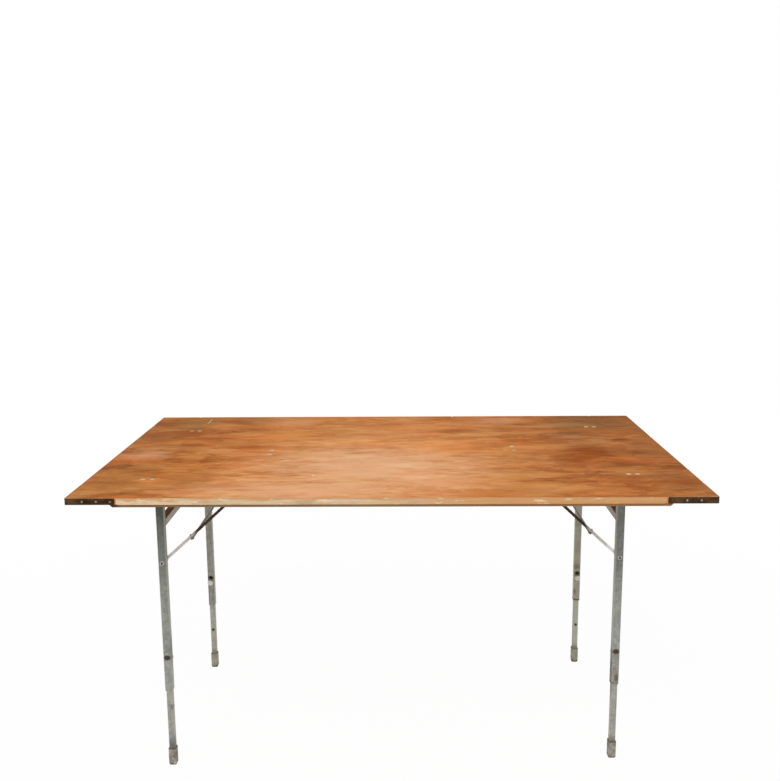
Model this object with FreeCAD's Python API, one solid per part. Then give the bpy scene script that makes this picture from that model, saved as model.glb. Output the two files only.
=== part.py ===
import FreeCAD, Part
import math
import os
from FreeCAD import Placement, Rotation, Vector

# Folding trestle table: a plywood top with metal-bound corners on two folding, telescopic leg frames.
# Frame: origin on the floor under the middle of the table, X along the length, -Y the front, Z up.
# Millimetres. Each leg frame turns inwards about its own hinge pins, and a wishbone stay holds it open.

# Overall size
TABLE_LENGTH = 1524.0
TABLE_DEPTH = 914.0
TABLE_HEIGHT = 782.0

# Top board, edge strips and corner irons
TOP_THICKNESS = 15.0
CORNER_RADIUS = 5.0
LIPPING_THICKNESS = 3.0
LIPPING_END_RADIUS = 6.0
LIPPING_END_GAP = 4.0
IRON_THICKNESS = 2.0
IRON_ARM = 118.0
IRON_RIVET_FIRST = 42.0
IRON_RIVET_END = 10.0
IRON_RIVETS_PER_ARM = 3
IRON_RIVET_RADIUS = 2.0
IRON_RIVET_LENGTH = 14.0
IRON_RIVET_HEAD_RADIUS = 3.5
IRON_RIVET_HEAD_HEIGHT = 1.0

# Stiffening rails under the long edges
RAIL_WIDTH = 30.0
RAIL_DEPTH = 9.0
RAIL_SETBACK = 10.0
RAIL_END_INSET = 102.0
RAIL_END_CHAMFER = 7.0
RAIL_SCREW_COUNT = 5
RAIL_SCREW_END = 60.0
RAIL_SCREW_RADIUS = 2.0
RAIL_SCREW_HEAD_RADIUS = 4.0
RAIL_SCREW_HEAD_DEPTH = 2.5
RAIL_SCREW_BITE = 8.0

# Leg frames: the two frames stand off centre, so that they lie beside each other when folded
LEG_END_INSET = 179.0
LEG_SIDE_INSET = 184.0
NEST_OFFSET = 18.0
LEG_SIZE = 20.0
LEG_WALL = 1.5
LEG_EDGE_RADIUS = 2.5
LEG_ABOVE_PIVOT = 10.0
UPPER_LEG_END = 214.0
PIVOT_DROP = 17.0
CROSSBAR_DROP = 101.0

# Lower legs, feet and clamp screws
LOWER_WALL = 1.5
LOWER_EDGE_RADIUS = 2.0
LOWER_TOP = 395.0
LOWER_HOLE_FIRST = 130.0
LOWER_HOLE_PITCH = 88.0
LOWER_HOLE_COUNT = 3
LOWER_HOLE_RADIUS = 4.25
FOOT_WALL = 2.15
FOOT_HEIGHT = 48.0
FOOT_SOLE = 8.0
FOOT_EDGE_RADIUS = 3.0
FOOT_TOE_RADIUS = 6.0
SPARE_HOLE_RADIUS = 6.5
BOSS_BELOW_HOLE = 0.5
SCREW_RADIUS = 3.0
SCREW_BOSS_RADIUS = 6.0
SCREW_BOSS_LENGTH = 4.5
KNOB_RADIUS = 8.5
KNOB_LENGTH = 6.0
KNOB_STANDOFF = 2.0
KNOB_RECESS_RADIUS = 3.5
KNOB_RECESS_DEPTH = 1.2
KNOB_CHAMFER = 1.2

# Hinge brackets and pins
BRACKET_THICKNESS = 2.5
BRACKET_INBOARD = 15.0
BRACKET_OUTBOARD = 53.0
BRACKET_NOSE_RADIUS = 8.0
CHEEK_RADIUS = 14.0
PIVOT_PIN_RADIUS = 4.0
PIN_HEAD_RADIUS = 6.5
PIN_HEAD_HEIGHT = 2.0
BRACKET_RIVET_FIRST = 16.0
BRACKET_RIVET_END = 13.0
TOP_RIVET_RADIUS = 2.5
TOP_RIVET_HEAD_RADIUS = 6.5
TOP_RIVET_HEAD_DEPTH = 1.6
TOP_RIVET_TAIL_RADIUS = 4.5
TOP_RIVET_TAIL_HEIGHT = 1.8
TOP_RIVET_RECESS = 0.1

# Wishbone stays and their keepers
BOLT_DROP = 203.0
BOLT_RADIUS = 3.0
BOLT_HEAD_RADIUS = 6.5
BOLT_HEAD_HEIGHT = 3.0
BOLT_CROWN_RADIUS = 2.4
BOLT_END_BEYOND_NUT = 1.5
NUT_SIDES = 6
NUT_ACROSS_CORNERS = 12.0
NUT_HEIGHT = 4.5
STAY_RUN = 243.0
STAY_SIZE = 7.0
STAY_EYE_RADIUS = 9.0
STAY_LUG = 8.0
STAY_BEND_LENGTH = 28.0
STAY_BEND_STEPS = 5
APEX_SIDE_GAP = 5.0
APEX_PIN_RADIUS = 4.0
APEX_PIN_HEAD_RADIUS = 6.0
APEX_PIN_HEAD_HEIGHT = 2.0
SPREADER_FROM_BOLT = 75.0
SPREADER_WIDTH = 7.0
SPREADER_THICKNESS = 4.0
SPREADER_OVERHANG = 10.0
SPREADER_END_RADIUS = 3.0
SPREADER_RIVET_RADIUS = 2.0
SPREADER_RIVET_HEAD_RADIUS = 3.4
SPREADER_RIVET_HEAD_HEIGHT = 1.8
KEEPER_PLATE_LENGTH = 64.0
KEEPER_PLATE_WIDTH = 28.0
KEEPER_PLATE_THICKNESS = 2.5
KEEPER_PLATE_RADIUS = 8.0
KEEPER_RIVET_END = 9.0
KEEPER_HOOK_THICKNESS = 6.0
KEEPER_HOOK_BACK = 11.0
KEEPER_HOOK_REACH = 8.0
KEEPER_HOOK_LIP = 12.0
KEEPER_HOOK_RADIUS = 8.5

# Clearances
PIN_CLEARANCE = 0.05
RIVET_CLEARANCE = 0.05
CHEEK_GAP = 0.4
STAY_GAP = 2.0
NUT_GAP = 0.3
HOOK_CLEARANCE = 0.4
TUBE_CLEARANCE = 0.5
FOOT_CLEARANCE = 0.1
SCREW_TIP_GAP = 0.3
SCREW_HOLE_CLEARANCE = 0.4
MIN_INSIDE_RADIUS = 0.4
TOUCH = 0.01

# Places and mechanism worked out from the sizes above
UNDERSIDE = TABLE_HEIGHT - TOP_THICKNESS
LEG_X = TABLE_LENGTH / 2 - LEG_END_INSET
LEG_Y = TABLE_DEPTH / 2 - LEG_SIDE_INSET
KEEPER_X = LEG_X - STAY_RUN
PIVOT_Z = UNDERSIDE - PIVOT_DROP
CROSSBAR_Z = UNDERSIDE - CROSSBAR_DROP
BOLT_Z = UNDERSIDE - BOLT_DROP
LOWER_SIZE = LEG_SIZE - 2 * (LEG_WALL + TUBE_CLEARANCE)
FOOT_SOCKET = LOWER_SIZE + 2 * FOOT_CLEARANCE
FOOT_SIZE = FOOT_SOCKET + 2 * FOOT_WALL
SPARE_HOLE_Z = LOWER_HOLE_FIRST + LOWER_HOLE_PITCH * (LOWER_HOLE_COUNT - 1)
SCREW_Z = SPARE_HOLE_Z - SPARE_HOLE_RADIUS - SCREW_BOSS_RADIUS - BOSS_BELOW_HOLE
BRACKET_HALF_WIDTH = LEG_SIZE / 2 + CHEEK_GAP + BRACKET_THICKNESS
LUG_Y = -(LEG_Y - LEG_SIZE / 2 - STAY_GAP - STAY_SIZE / 2)
APEX_HALF_GAP = KEEPER_HOOK_THICKNESS / 2 + APEX_SIDE_GAP
APEX_Y = -(APEX_HALF_GAP + STAY_SIZE / 2)
STAY_RISE = PIVOT_Z - BOLT_Z
STAY_LENGTH = math.hypot(STAY_RISE, STAY_RUN)
STAY_SLOPE = math.degrees(math.atan2(STAY_RISE, STAY_RUN))
FOLD_ANGLE = 90.0
STAY_TURN_RATIO = (FOLD_ANGLE + STAY_SLOPE) / FOLD_ANGLE

LEFT, RIGHT = -1, 1
FRONT, REAR = -1, 1
SIDES = {"left": LEFT, "right": RIGHT}
ROWS = {"front": FRONT, "rear": REAR}
X_AXIS = Vector(1, 0, 0)
Y_AXIS = Vector(0, 1, 0)
Z_AXIS = Vector(0, 0, 1)


# Shared helpers
def box(x0, x1, y0, y1, z0, z1):
    return Part.makeBox(x1 - x0, y1 - y0, z1 - z0, Vector(x0, y0, z0))


def rod(radius, start, end):
    axis = end - start
    return Part.makeCylinder(radius, axis.Length, start, axis)


def edges_along(shape, axis, keep=None):
    found = []
    for edge in shape.Edges:
        straight = isinstance(edge.Curve, Part.Line)
        if straight and edge.Curve.Direction.cross(axis).Length < TOUCH:
            if keep is None or keep(edge.CenterOfMass):
                found.append(edge)
    return found


def rounded_block(length, depth, radius, z0, z1):
    block = box(-length / 2, length / 2, -depth / 2, depth / 2, z0, z1)
    return block.makeFillet(radius, edges_along(block, Z_AXIS))


def square_tube(size, wall, radius, z0, z1):
    outside = rounded_block(size, size, radius, z0, z1)
    bore = size - 2 * wall
    inside = rounded_block(bore, bore, max(radius - wall, MIN_INSIDE_RADIUS), z0, z1)
    return outside.cut(inside)


def mirrored(shape, side, row, y_shift=0.0):
    """Carry a shape from the left front quarter to another quarter of the table."""
    result = shape.copy()
    if row == REAR:
        result = result.mirror(Vector(), Y_AXIS)
    if side == RIGHT:
        result = result.mirror(Vector(), X_AXIS)
    result.translate(Vector(0, y_shift, 0))
    return result


def frame_shift(side):
    return side * NEST_OFFSET


def save(name, shape):
    shape.exportStep("parts/" + name + ".step")


# Rivets that hold the irons: the axis runs inwards from the outer face of the iron
def iron_rivet(face, inwards):
    shank = rod(IRON_RIVET_RADIUS, face, face + inwards * IRON_RIVET_LENGTH)
    head = Part.makeCone(
        IRON_RIVET_HEAD_RADIUS,
        IRON_RIVET_RADIUS,
        IRON_RIVET_HEAD_HEIGHT,
        face,
        inwards * -1,
    )
    return shank.fuse(head).removeSplitter()


def iron_rivet_seats():
    """Outer end and inward direction of every rivet in the left front iron."""
    mid_height = UNDERSIDE + TOP_THICKNESS / 2
    pitch = (IRON_ARM - IRON_RIVET_END - IRON_RIVET_FIRST) / (IRON_RIVETS_PER_ARM - 1)
    seats = []
    for index in range(IRON_RIVETS_PER_ARM):
        along = IRON_RIVET_FIRST + index * pitch
        front = Vector(along - TABLE_LENGTH / 2, -TABLE_DEPTH / 2, mid_height)
        end = Vector(-TABLE_LENGTH / 2, along - TABLE_DEPTH / 2, mid_height)
        seats.append((front, Y_AXIS))
        seats.append((end, X_AXIS))
    return seats


def iron_rivet_holes():
    radius = IRON_RIVET_RADIUS + RIVET_CLEARANCE
    depth = IRON_RIVET_LENGTH + RIVET_CLEARANCE
    holes = [rod(radius, face, face + inwards * depth) for face, inwards in iron_rivet_seats()]
    return Part.makeCompound(holes)


# Rivets that come up through the top: flat head in the top face, tail under a plate
def top_rivet(x, y, plate_thickness):
    head_top = TABLE_HEIGHT - TOP_RIVET_RECESS
    head = rod(TOP_RIVET_HEAD_RADIUS, Vector(x, y, head_top - TOP_RIVET_HEAD_DEPTH), Vector(x, y, head_top))
    tail_top = UNDERSIDE - plate_thickness
    shank = rod(TOP_RIVET_RADIUS, Vector(x, y, tail_top), Vector(x, y, head_top))
    tail = Part.makeCone(
        TOP_RIVET_TAIL_RADIUS,
        TOP_RIVET_RADIUS,
        TOP_RIVET_TAIL_HEIGHT,
        Vector(x, y, tail_top),
        Z_AXIS * -1,
    )
    return shank.fuse([head, tail]).removeSplitter()


def top_rivet_hole(x, y, plate_thickness):
    shank = rod(
        TOP_RIVET_RADIUS + RIVET_CLEARANCE,
        Vector(x, y, UNDERSIDE - plate_thickness),
        Vector(x, y, TABLE_HEIGHT),
    )
    seat_floor = TABLE_HEIGHT - TOP_RIVET_RECESS - TOP_RIVET_HEAD_DEPTH
    seat = rod(
        TOP_RIVET_HEAD_RADIUS + RIVET_CLEARANCE,
        Vector(x, y, seat_floor),
        Vector(x, y, TABLE_HEIGHT),
    )
    return shank.fuse(seat)


def bracket_rivet_places():
    """Rivets of the left front hinge bracket, outboard of the leg."""
    outboard = (BRACKET_RIVET_FIRST, BRACKET_OUTBOARD - BRACKET_RIVET_END)
    return [(-LEG_X - distance, -LEG_Y) for distance in outboard]


def keeper_rivet_place():
    """Front rivet of the left keeper."""
    return -KEEPER_X, KEEPER_RIVET_END - KEEPER_PLATE_LENGTH / 2


def all_top_rivet_holes():
    holes = []
    for side in SIDES.values():
        for row in ROWS.values():
            for x, y in bracket_rivet_places():
                holes.append(mirrored(top_rivet_hole(x, y, BRACKET_THICKNESS), side, row, frame_shift(side)))
            x, y = keeper_rivet_place()
            holes.append(mirrored(top_rivet_hole(x, y, KEEPER_PLATE_THICKNESS), side, row, frame_shift(side)))
    return holes


# Screws that hold the rails: countersunk from below
def rail_screw_places():
    half_length = TABLE_LENGTH / 2 - RAIL_END_INSET - RAIL_SCREW_END
    step = 2 * half_length / (RAIL_SCREW_COUNT - 1)
    y = RAIL_SETBACK + RAIL_WIDTH / 2 - TABLE_DEPTH / 2
    return [(index * step - half_length, y) for index in range(RAIL_SCREW_COUNT)]


def rail_screw(x, y, clearance=0.0):
    rail_bottom = UNDERSIDE - RAIL_DEPTH
    head = Part.makeCone(
        RAIL_SCREW_HEAD_RADIUS + clearance,
        RAIL_SCREW_RADIUS + clearance,
        RAIL_SCREW_HEAD_DEPTH,
        Vector(x, y, rail_bottom),
        Z_AXIS,
    )
    tip = UNDERSIDE + RAIL_SCREW_BITE + clearance
    shank = rod(RAIL_SCREW_RADIUS + clearance, Vector(x, y, rail_bottom), Vector(x, y, tip))
    return head.fuse(shank).removeSplitter()


def rail_screw_holes(row):
    holes = [rail_screw(x, y, RIVET_CLEARANCE) for x, y in rail_screw_places()]
    return mirrored(Part.makeCompound(holes), LEFT, row)


# Top
def tabletop_panel():
    inset = 2 * IRON_THICKNESS
    board = rounded_block(
        TABLE_LENGTH - inset,
        TABLE_DEPTH - inset,
        CORNER_RADIUS - IRON_THICKNESS,
        UNDERSIDE,
        TABLE_HEIGHT,
    )
    half_length = TABLE_LENGTH / 2
    half_depth = TABLE_DEPTH / 2
    between_x = half_length - IRON_ARM
    between_y = half_depth - IRON_ARM
    rebates = []
    for sign in (LEFT, RIGHT):
        edge_y = sorted((sign * (half_depth - LIPPING_THICKNESS), sign * half_depth))
        edge_x = sorted((sign * (half_length - LIPPING_THICKNESS), sign * half_length))
        rebates.append(box(-between_x, between_x, edge_y[0], edge_y[1], UNDERSIDE, TABLE_HEIGHT))
        rebates.append(box(edge_x[0], edge_x[1], -between_y, between_y, UNDERSIDE, TABLE_HEIGHT))
    holes = [mirrored(iron_rivet_holes(), side, row) for side in SIDES.values() for row in ROWS.values()]
    holes += [rail_screw_holes(row) for row in ROWS.values()]
    return board.cut(rebates + holes + all_top_rivet_holes())


def lipping(length):
    """Edge strip along X with rounded ends, centred on its own outer face."""
    half = length / 2
    strip = box(-half, half, 0, LIPPING_THICKNESS, UNDERSIDE, TABLE_HEIGHT)
    end_radius = min(LIPPING_END_RADIUS, TOP_THICKNESS / 2 - TOUCH)
    return strip.makeFillet(end_radius, edges_along(strip, Y_AXIS))


def long_lipping(row):
    strip = lipping(TABLE_LENGTH - 2 * (IRON_ARM + LIPPING_END_GAP))
    strip.translate(Vector(0, -TABLE_DEPTH / 2, 0))
    return mirrored(strip, LEFT, row)


def end_lipping(side):
    strip = lipping(TABLE_DEPTH - 2 * (IRON_ARM + LIPPING_END_GAP))
    strip.rotate(Vector(), Z_AXIS, -90)
    strip.translate(Vector(-TABLE_LENGTH / 2, 0, 0))
    return mirrored(strip, side, FRONT)


def corner_iron():
    inset = 2 * IRON_THICKNESS
    outside = rounded_block(TABLE_LENGTH, TABLE_DEPTH, CORNER_RADIUS, UNDERSIDE, TABLE_HEIGHT)
    inside = rounded_block(
        TABLE_LENGTH - inset,
        TABLE_DEPTH - inset,
        CORNER_RADIUS - IRON_THICKNESS,
        UNDERSIDE,
        TABLE_HEIGHT,
    )
    x0 = -TABLE_LENGTH / 2
    y0 = -TABLE_DEPTH / 2
    corner = box(x0, x0 + IRON_ARM, y0, y0 + IRON_ARM, UNDERSIDE, TABLE_HEIGHT)
    return outside.cut(inside).common(corner).cut(iron_rivet_holes())


def rail(row):
    half = TABLE_LENGTH / 2 - RAIL_END_INSET
    y0 = RAIL_SETBACK - TABLE_DEPTH / 2
    strip = box(-half, half, y0, y0 + RAIL_WIDTH, UNDERSIDE - RAIL_DEPTH, UNDERSIDE)

    def at_lower_end(point):
        return abs(abs(point.x) - half) < TOUCH and point.z < UNDERSIDE - RAIL_DEPTH / 2

    strip = strip.makeChamfer(RAIL_END_CHAMFER, edges_along(strip, Y_AXIS, at_lower_end))
    return mirrored(strip, LEFT, row).cut(rail_screw_holes(row))


# Hinge bracket of the left front leg
def leg_bracket():
    half = BRACKET_HALF_WIDTH
    plate_bottom = UNDERSIDE - BRACKET_THICKNESS
    outer_end = -LEG_X - BRACKET_OUTBOARD
    plate = box(outer_end, -LEG_X + BRACKET_INBOARD, -LEG_Y - half, -LEG_Y + half, plate_bottom, UNDERSIDE)

    def at_nose(point):
        return point.x < outer_end + TOUCH

    plate = plate.makeFillet(BRACKET_NOSE_RADIUS, edges_along(plate, Z_AXIS, at_nose))
    pieces = []
    for y0 in (-LEG_Y - half, -LEG_Y + half - BRACKET_THICKNESS):
        y1 = y0 + BRACKET_THICKNESS
        pieces.append(box(-LEG_X - CHEEK_RADIUS, -LEG_X + CHEEK_RADIUS, y0, y1, PIVOT_Z, UNDERSIDE))
        pieces.append(rod(CHEEK_RADIUS, Vector(-LEG_X, y0, PIVOT_Z), Vector(-LEG_X, y1, PIVOT_Z)))
    bracket = plate.fuse(pieces).removeSplitter()
    pin_hole = rod(
        PIVOT_PIN_RADIUS + PIN_CLEARANCE,
        Vector(-LEG_X, -LEG_Y - half, PIVOT_Z),
        Vector(-LEG_X, -LEG_Y + half, PIVOT_Z),
    )
    rivet_holes = [top_rivet_hole(x, y, BRACKET_THICKNESS) for x, y in bracket_rivet_places()]
    return bracket.cut([pin_hole] + rivet_holes)


def headed_pin(radius, head_radius, head_height, centre, half_grip):
    """Pin along Y with a flat head at each end of its grip."""
    ends = [centre - Y_AXIS * half_grip, centre + Y_AXIS * half_grip]
    pin = rod(radius, ends[0], ends[1])
    heads = [
        rod(head_radius, ends[0] - Y_AXIS * head_height, ends[0]),
        rod(head_radius, ends[1], ends[1] + Y_AXIS * head_height),
    ]
    return pin.fuse(heads).removeSplitter()


def leg_pivot_pin():
    centre = Vector(-LEG_X, -LEG_Y, PIVOT_Z)
    return headed_pin(PIVOT_PIN_RADIUS, PIN_HEAD_RADIUS, PIN_HEAD_HEIGHT, centre, BRACKET_HALF_WIDTH)


# Legs of the left front quarter: the inward face looks to the middle of the table, along +Y
def leg_axis_point(z):
    return Vector(-LEG_X, -LEG_Y, z)


def across_leg(radius, z):
    reach = Y_AXIS * LEG_SIZE
    return rod(radius, leg_axis_point(z) - reach, leg_axis_point(z) + reach)


def inward_hole(radius, z):
    return rod(radius, leg_axis_point(z), leg_axis_point(z) + Y_AXIS * LEG_SIZE)


def upper_leg():
    tube = square_tube(LEG_SIZE, LEG_WALL, LEG_EDGE_RADIUS, UPPER_LEG_END, PIVOT_Z + LEG_ABOVE_PIVOT)
    tube.translate(leg_axis_point(0))
    holes = [
        across_leg(PIVOT_PIN_RADIUS + PIN_CLEARANCE, PIVOT_Z),
        across_leg(BOLT_RADIUS + PIN_CLEARANCE, BOLT_Z),
        inward_hole(SPARE_HOLE_RADIUS, SPARE_HOLE_Z),
        inward_hole(SCREW_RADIUS + SCREW_HOLE_CLEARANCE, SCREW_Z),
    ]
    return tube.cut(holes)


def crossbar():
    """Square tube along Y between the inner faces of the two legs of the left frame."""
    half = LEG_Y - LEG_SIZE / 2
    tube = square_tube(LEG_SIZE, LEG_WALL, LEG_EDGE_RADIUS, -half, half)
    tube.rotate(Vector(), X_AXIS, 90)
    tube.translate(Vector(-LEG_X, 0, CROSSBAR_Z))
    return tube


def lower_leg():
    tube = square_tube(LOWER_SIZE, LOWER_WALL, LOWER_EDGE_RADIUS, FOOT_SOLE, LOWER_TOP)
    tube.translate(leg_axis_point(0))
    levels = [LOWER_HOLE_FIRST + index * LOWER_HOLE_PITCH for index in range(LOWER_HOLE_COUNT)]
    return tube.cut([inward_hole(LOWER_HOLE_RADIUS, z) for z in levels])


def foot():
    cap = rounded_block(FOOT_SIZE, FOOT_SIZE, FOOT_EDGE_RADIUS, 0, FOOT_HEIGHT)
    toe = [edge for edge in cap.Edges if edge.BoundBox.ZMax < TOUCH]
    cap = cap.makeFillet(FOOT_TOE_RADIUS, toe)
    cap = cap.cut(rounded_block(FOOT_SOCKET, FOOT_SOCKET, LOWER_EDGE_RADIUS, FOOT_SOLE, FOOT_HEIGHT))
    cap.translate(leg_axis_point(0))
    return cap


def screw_boss():
    face = leg_axis_point(SCREW_Z) + Y_AXIS * (LEG_SIZE / 2)
    boss = rod(SCREW_BOSS_RADIUS, face, face + Y_AXIS * SCREW_BOSS_LENGTH)
    return boss.cut(inward_hole(SCREW_RADIUS + PIN_CLEARANCE, SCREW_Z))


def clamp_screw():
    tip = leg_axis_point(SCREW_Z) + Y_AXIS * (LOWER_SIZE / 2 + SCREW_TIP_GAP)
    knob_start = leg_axis_point(SCREW_Z) + Y_AXIS * (LEG_SIZE / 2 + SCREW_BOSS_LENGTH + KNOB_STANDOFF)
    knob_end = knob_start + Y_AXIS * KNOB_LENGTH
    knob = rod(KNOB_RADIUS, knob_start, knob_end)
    rims = [edge for edge in knob.Edges if isinstance(edge.Curve, Part.Circle)]
    knob = knob.makeChamfer(KNOB_CHAMFER, rims)
    knob = knob.cut(rod(KNOB_RECESS_RADIUS, knob_end - Y_AXIS * KNOB_RECESS_DEPTH, knob_end))
    return rod(SCREW_RADIUS, tip, knob_start).fuse(knob).removeSplitter()


# Wishbone stay of the left frame, in its own plane: x from bolt to apex pin, y across, z off the plane
def stay_to_table(shape):
    result = shape.copy()
    result.Placement = Placement(Vector(-LEG_X, 0, BOLT_Z), Rotation(Y_AXIS, -STAY_SLOPE))
    return result


def stay_corners():
    bend = STAY_LUG + STAY_BEND_LENGTH / 2
    return Vector(bend, LUG_Y, 0), Vector(STAY_LENGTH - bend, APEX_Y, 0)


def stay_section(point, heading):
    """Square section of the bar at a point of its middle line."""
    across = Z_AXIS.cross(heading) * (STAY_SIZE / 2)
    up = Z_AXIS * (STAY_SIZE / 2)
    corners = [point + up + across, point - up + across, point - up - across, point + up - across]
    return Part.makePolygon(corners + corners[:1])


def bend_sections(corner, before, after):
    """Sections round one bend of the bar."""
    start = corner - before * (STAY_BEND_LENGTH / 2)
    end = corner + after * (STAY_BEND_LENGTH / 2)
    sections = []
    for index in range(STAY_BEND_STEPS + 1):
        t = index / STAY_BEND_STEPS
        point = start * (1 - t) ** 2 + corner * (2 * t * (1 - t)) + end * t ** 2
        heading = before * (1 - t) + after * t
        heading.normalize()
        sections.append(stay_section(point, heading))
    return sections


def stay_bar():
    """Square bar, bent in its own plane, with a forged eye at each end."""
    low, high = stay_corners()
    slant = high - low
    slant.normalize()
    sections = [stay_section(Vector(0, LUG_Y, 0), X_AXIS)]
    sections += bend_sections(low, X_AXIS, slant)
    sections += bend_sections(high, slant, X_AXIS)
    sections.append(stay_section(Vector(STAY_LENGTH, APEX_Y, 0), X_AXIS))
    bar = Part.makeLoft(sections, True, True)
    half = Y_AXIS * (STAY_SIZE / 2)
    eyes = []
    for point in (Vector(0, LUG_Y, 0), Vector(STAY_LENGTH, APEX_Y, 0)):
        eyes.append(rod(STAY_EYE_RADIUS, point - half, point + half))
    bolt_hole = rod(
        BOLT_RADIUS + PIN_CLEARANCE,
        Vector(0, LUG_Y - STAY_SIZE, 0),
        Vector(0, LUG_Y + STAY_SIZE, 0),
    )
    pin_hole = rod(
        APEX_PIN_RADIUS + PIN_CLEARANCE,
        Vector(STAY_LENGTH, APEX_Y - STAY_SIZE, 0),
        Vector(STAY_LENGTH, APEX_Y + STAY_SIZE, 0),
    )
    rivet = spreader_rivet_hole()
    return stay_to_table(bar.fuse(eyes).cut([bolt_hole, pin_hole, rivet]))


def spreader_crossing():
    """Where the middle line of the front bar passes over the spreader."""
    low, high = stay_corners()
    share = (SPREADER_FROM_BOLT - low.x) / (high.x - low.x)
    return low + (high - low) * share


def spreader_rivet_hole():
    middle = spreader_crossing()
    reach = Z_AXIS * (STAY_SIZE / 2 + SPREADER_THICKNESS)
    return rod(SPREADER_RIVET_RADIUS + RIVET_CLEARANCE, middle - reach, middle + reach)


def spreader():
    half = -spreader_crossing().y + SPREADER_OVERHANG
    x0 = SPREADER_FROM_BOLT - SPREADER_WIDTH / 2
    z1 = -STAY_SIZE / 2
    bar = box(x0, x0 + SPREADER_WIDTH, -half, half, z1 - SPREADER_THICKNESS, z1)
    bar = bar.makeFillet(SPREADER_END_RADIUS, edges_along(bar, Z_AXIS))
    holes = [mirrored(spreader_rivet_hole(), LEFT, row) for row in ROWS.values()]
    return stay_to_table(bar.cut(holes))


def spreader_rivet():
    middle = spreader_crossing()
    top = middle + Z_AXIS * (STAY_SIZE / 2)
    bottom = middle - Z_AXIS * (STAY_SIZE / 2 + SPREADER_THICKNESS)
    heads = []
    for face, outwards in ((top, Z_AXIS), (bottom, Z_AXIS * -1)):
        heads.append(
            Part.makeCone(
                SPREADER_RIVET_HEAD_RADIUS,
                SPREADER_RIVET_RADIUS,
                SPREADER_RIVET_HEAD_HEIGHT,
                face,
                outwards,
            )
        )
    return stay_to_table(rod(SPREADER_RIVET_RADIUS, bottom, top).fuse(heads).removeSplitter())


def stay_pin():
    """Pin across the apex, caught by the keeper."""
    centre = Vector(STAY_LENGTH, 0, 0)
    half_grip = APEX_HALF_GAP + STAY_SIZE
    pin = headed_pin(APEX_PIN_RADIUS, APEX_PIN_HEAD_RADIUS, APEX_PIN_HEAD_HEIGHT, centre, half_grip)
    return stay_to_table(pin)


# Bolt through the left front leg that carries the stay, with its nut inside the frame
def stay_bolt():
    outer = leg_axis_point(BOLT_Z) - Y_AXIS * (LEG_SIZE / 2)
    nut_face = Vector(-LEG_X, LUG_Y + STAY_SIZE / 2 + NUT_GAP, BOLT_Z)
    shank = rod(BOLT_RADIUS, outer, nut_face + Y_AXIS * (NUT_HEIGHT + BOLT_END_BEYOND_NUT))
    head = rod(BOLT_HEAD_RADIUS, outer - Y_AXIS * BOLT_HEAD_HEIGHT, outer)
    rims = [edge for edge in head.Edges if isinstance(edge.Curve, Part.Circle)]
    crown = [edge for edge in rims if edge.CenterOfMass.y < outer.y - BOLT_HEAD_HEIGHT / 2]
    head = head.makeFillet(BOLT_CROWN_RADIUS, crown)
    return shank.fuse(head).removeSplitter()


def stay_nut():
    centre = Vector(-LEG_X, LUG_Y + STAY_SIZE / 2 + NUT_GAP, BOLT_Z)
    corners = []
    for index in range(NUT_SIDES):
        angle = 2 * math.pi * index / NUT_SIDES
        corners.append(centre + Vector(math.cos(angle), 0, math.sin(angle)) * (NUT_ACROSS_CORNERS / 2))
    nut = Part.Face(Part.makePolygon(corners + corners[:1])).extrude(Y_AXIS * NUT_HEIGHT)
    return nut.cut(rod(BOLT_RADIUS + PIN_CLEARANCE, centre, centre + Y_AXIS * NUT_HEIGHT))


# Keeper under the top: a plate with a hook whose jaw opens inwards, the way the apex pin leaves it
def keeper():
    half_x = KEEPER_PLATE_WIDTH / 2
    half_y = KEEPER_PLATE_LENGTH / 2
    plate = box(-half_x, half_x, -half_y, half_y, -KEEPER_PLATE_THICKNESS, 0)
    plate = plate.makeFillet(KEEPER_PLATE_RADIUS, edges_along(plate, Z_AXIS))
    plate.translate(Vector(-KEEPER_X, 0, UNDERSIDE))
    pin = Vector(-KEEPER_X, 0, PIVOT_Z)
    half_hook = KEEPER_HOOK_THICKNESS / 2
    hook = box(
        pin.x - KEEPER_HOOK_BACK,
        pin.x + KEEPER_HOOK_REACH,
        -half_hook,
        half_hook,
        pin.z - KEEPER_HOOK_LIP,
        UNDERSIDE,
    )

    def at_lower_back(point):
        return point.z < pin.z and point.x < pin.x

    hook = hook.makeFillet(KEEPER_HOOK_RADIUS, edges_along(hook, Y_AXIS, at_lower_back))
    rise = STAY_RUN * (1 - STAY_TURN_RATIO)
    leave = Vector(STAY_RISE * STAY_TURN_RATIO, 0, rise)
    leave.normalize()
    jaw_radius = APEX_PIN_RADIUS + HOOK_CLEARANCE
    mouth = pin + leave * (2 * KEEPER_HOOK_REACH + jaw_radius)
    up = leave.cross(Y_AXIS) * -jaw_radius
    outline = [pin + up, mouth + up, mouth - up, pin - up]
    slot = Part.Face(Part.makePolygon(outline + outline[:1])).extrude(Y_AXIS * KEEPER_HOOK_THICKNESS)
    slot.translate(Y_AXIS * -half_hook)
    seat = rod(jaw_radius, pin - Y_AXIS * half_hook, pin + Y_AXIS * half_hook)
    x, y = keeper_rivet_place()
    hole = top_rivet_hole(x, y, KEEPER_PLATE_THICKNESS)
    holes = [mirrored(hole, LEFT, row) for row in ROWS.values()]
    return plate.fuse(hook).removeSplitter().cut([slot, seat] + holes)


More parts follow.
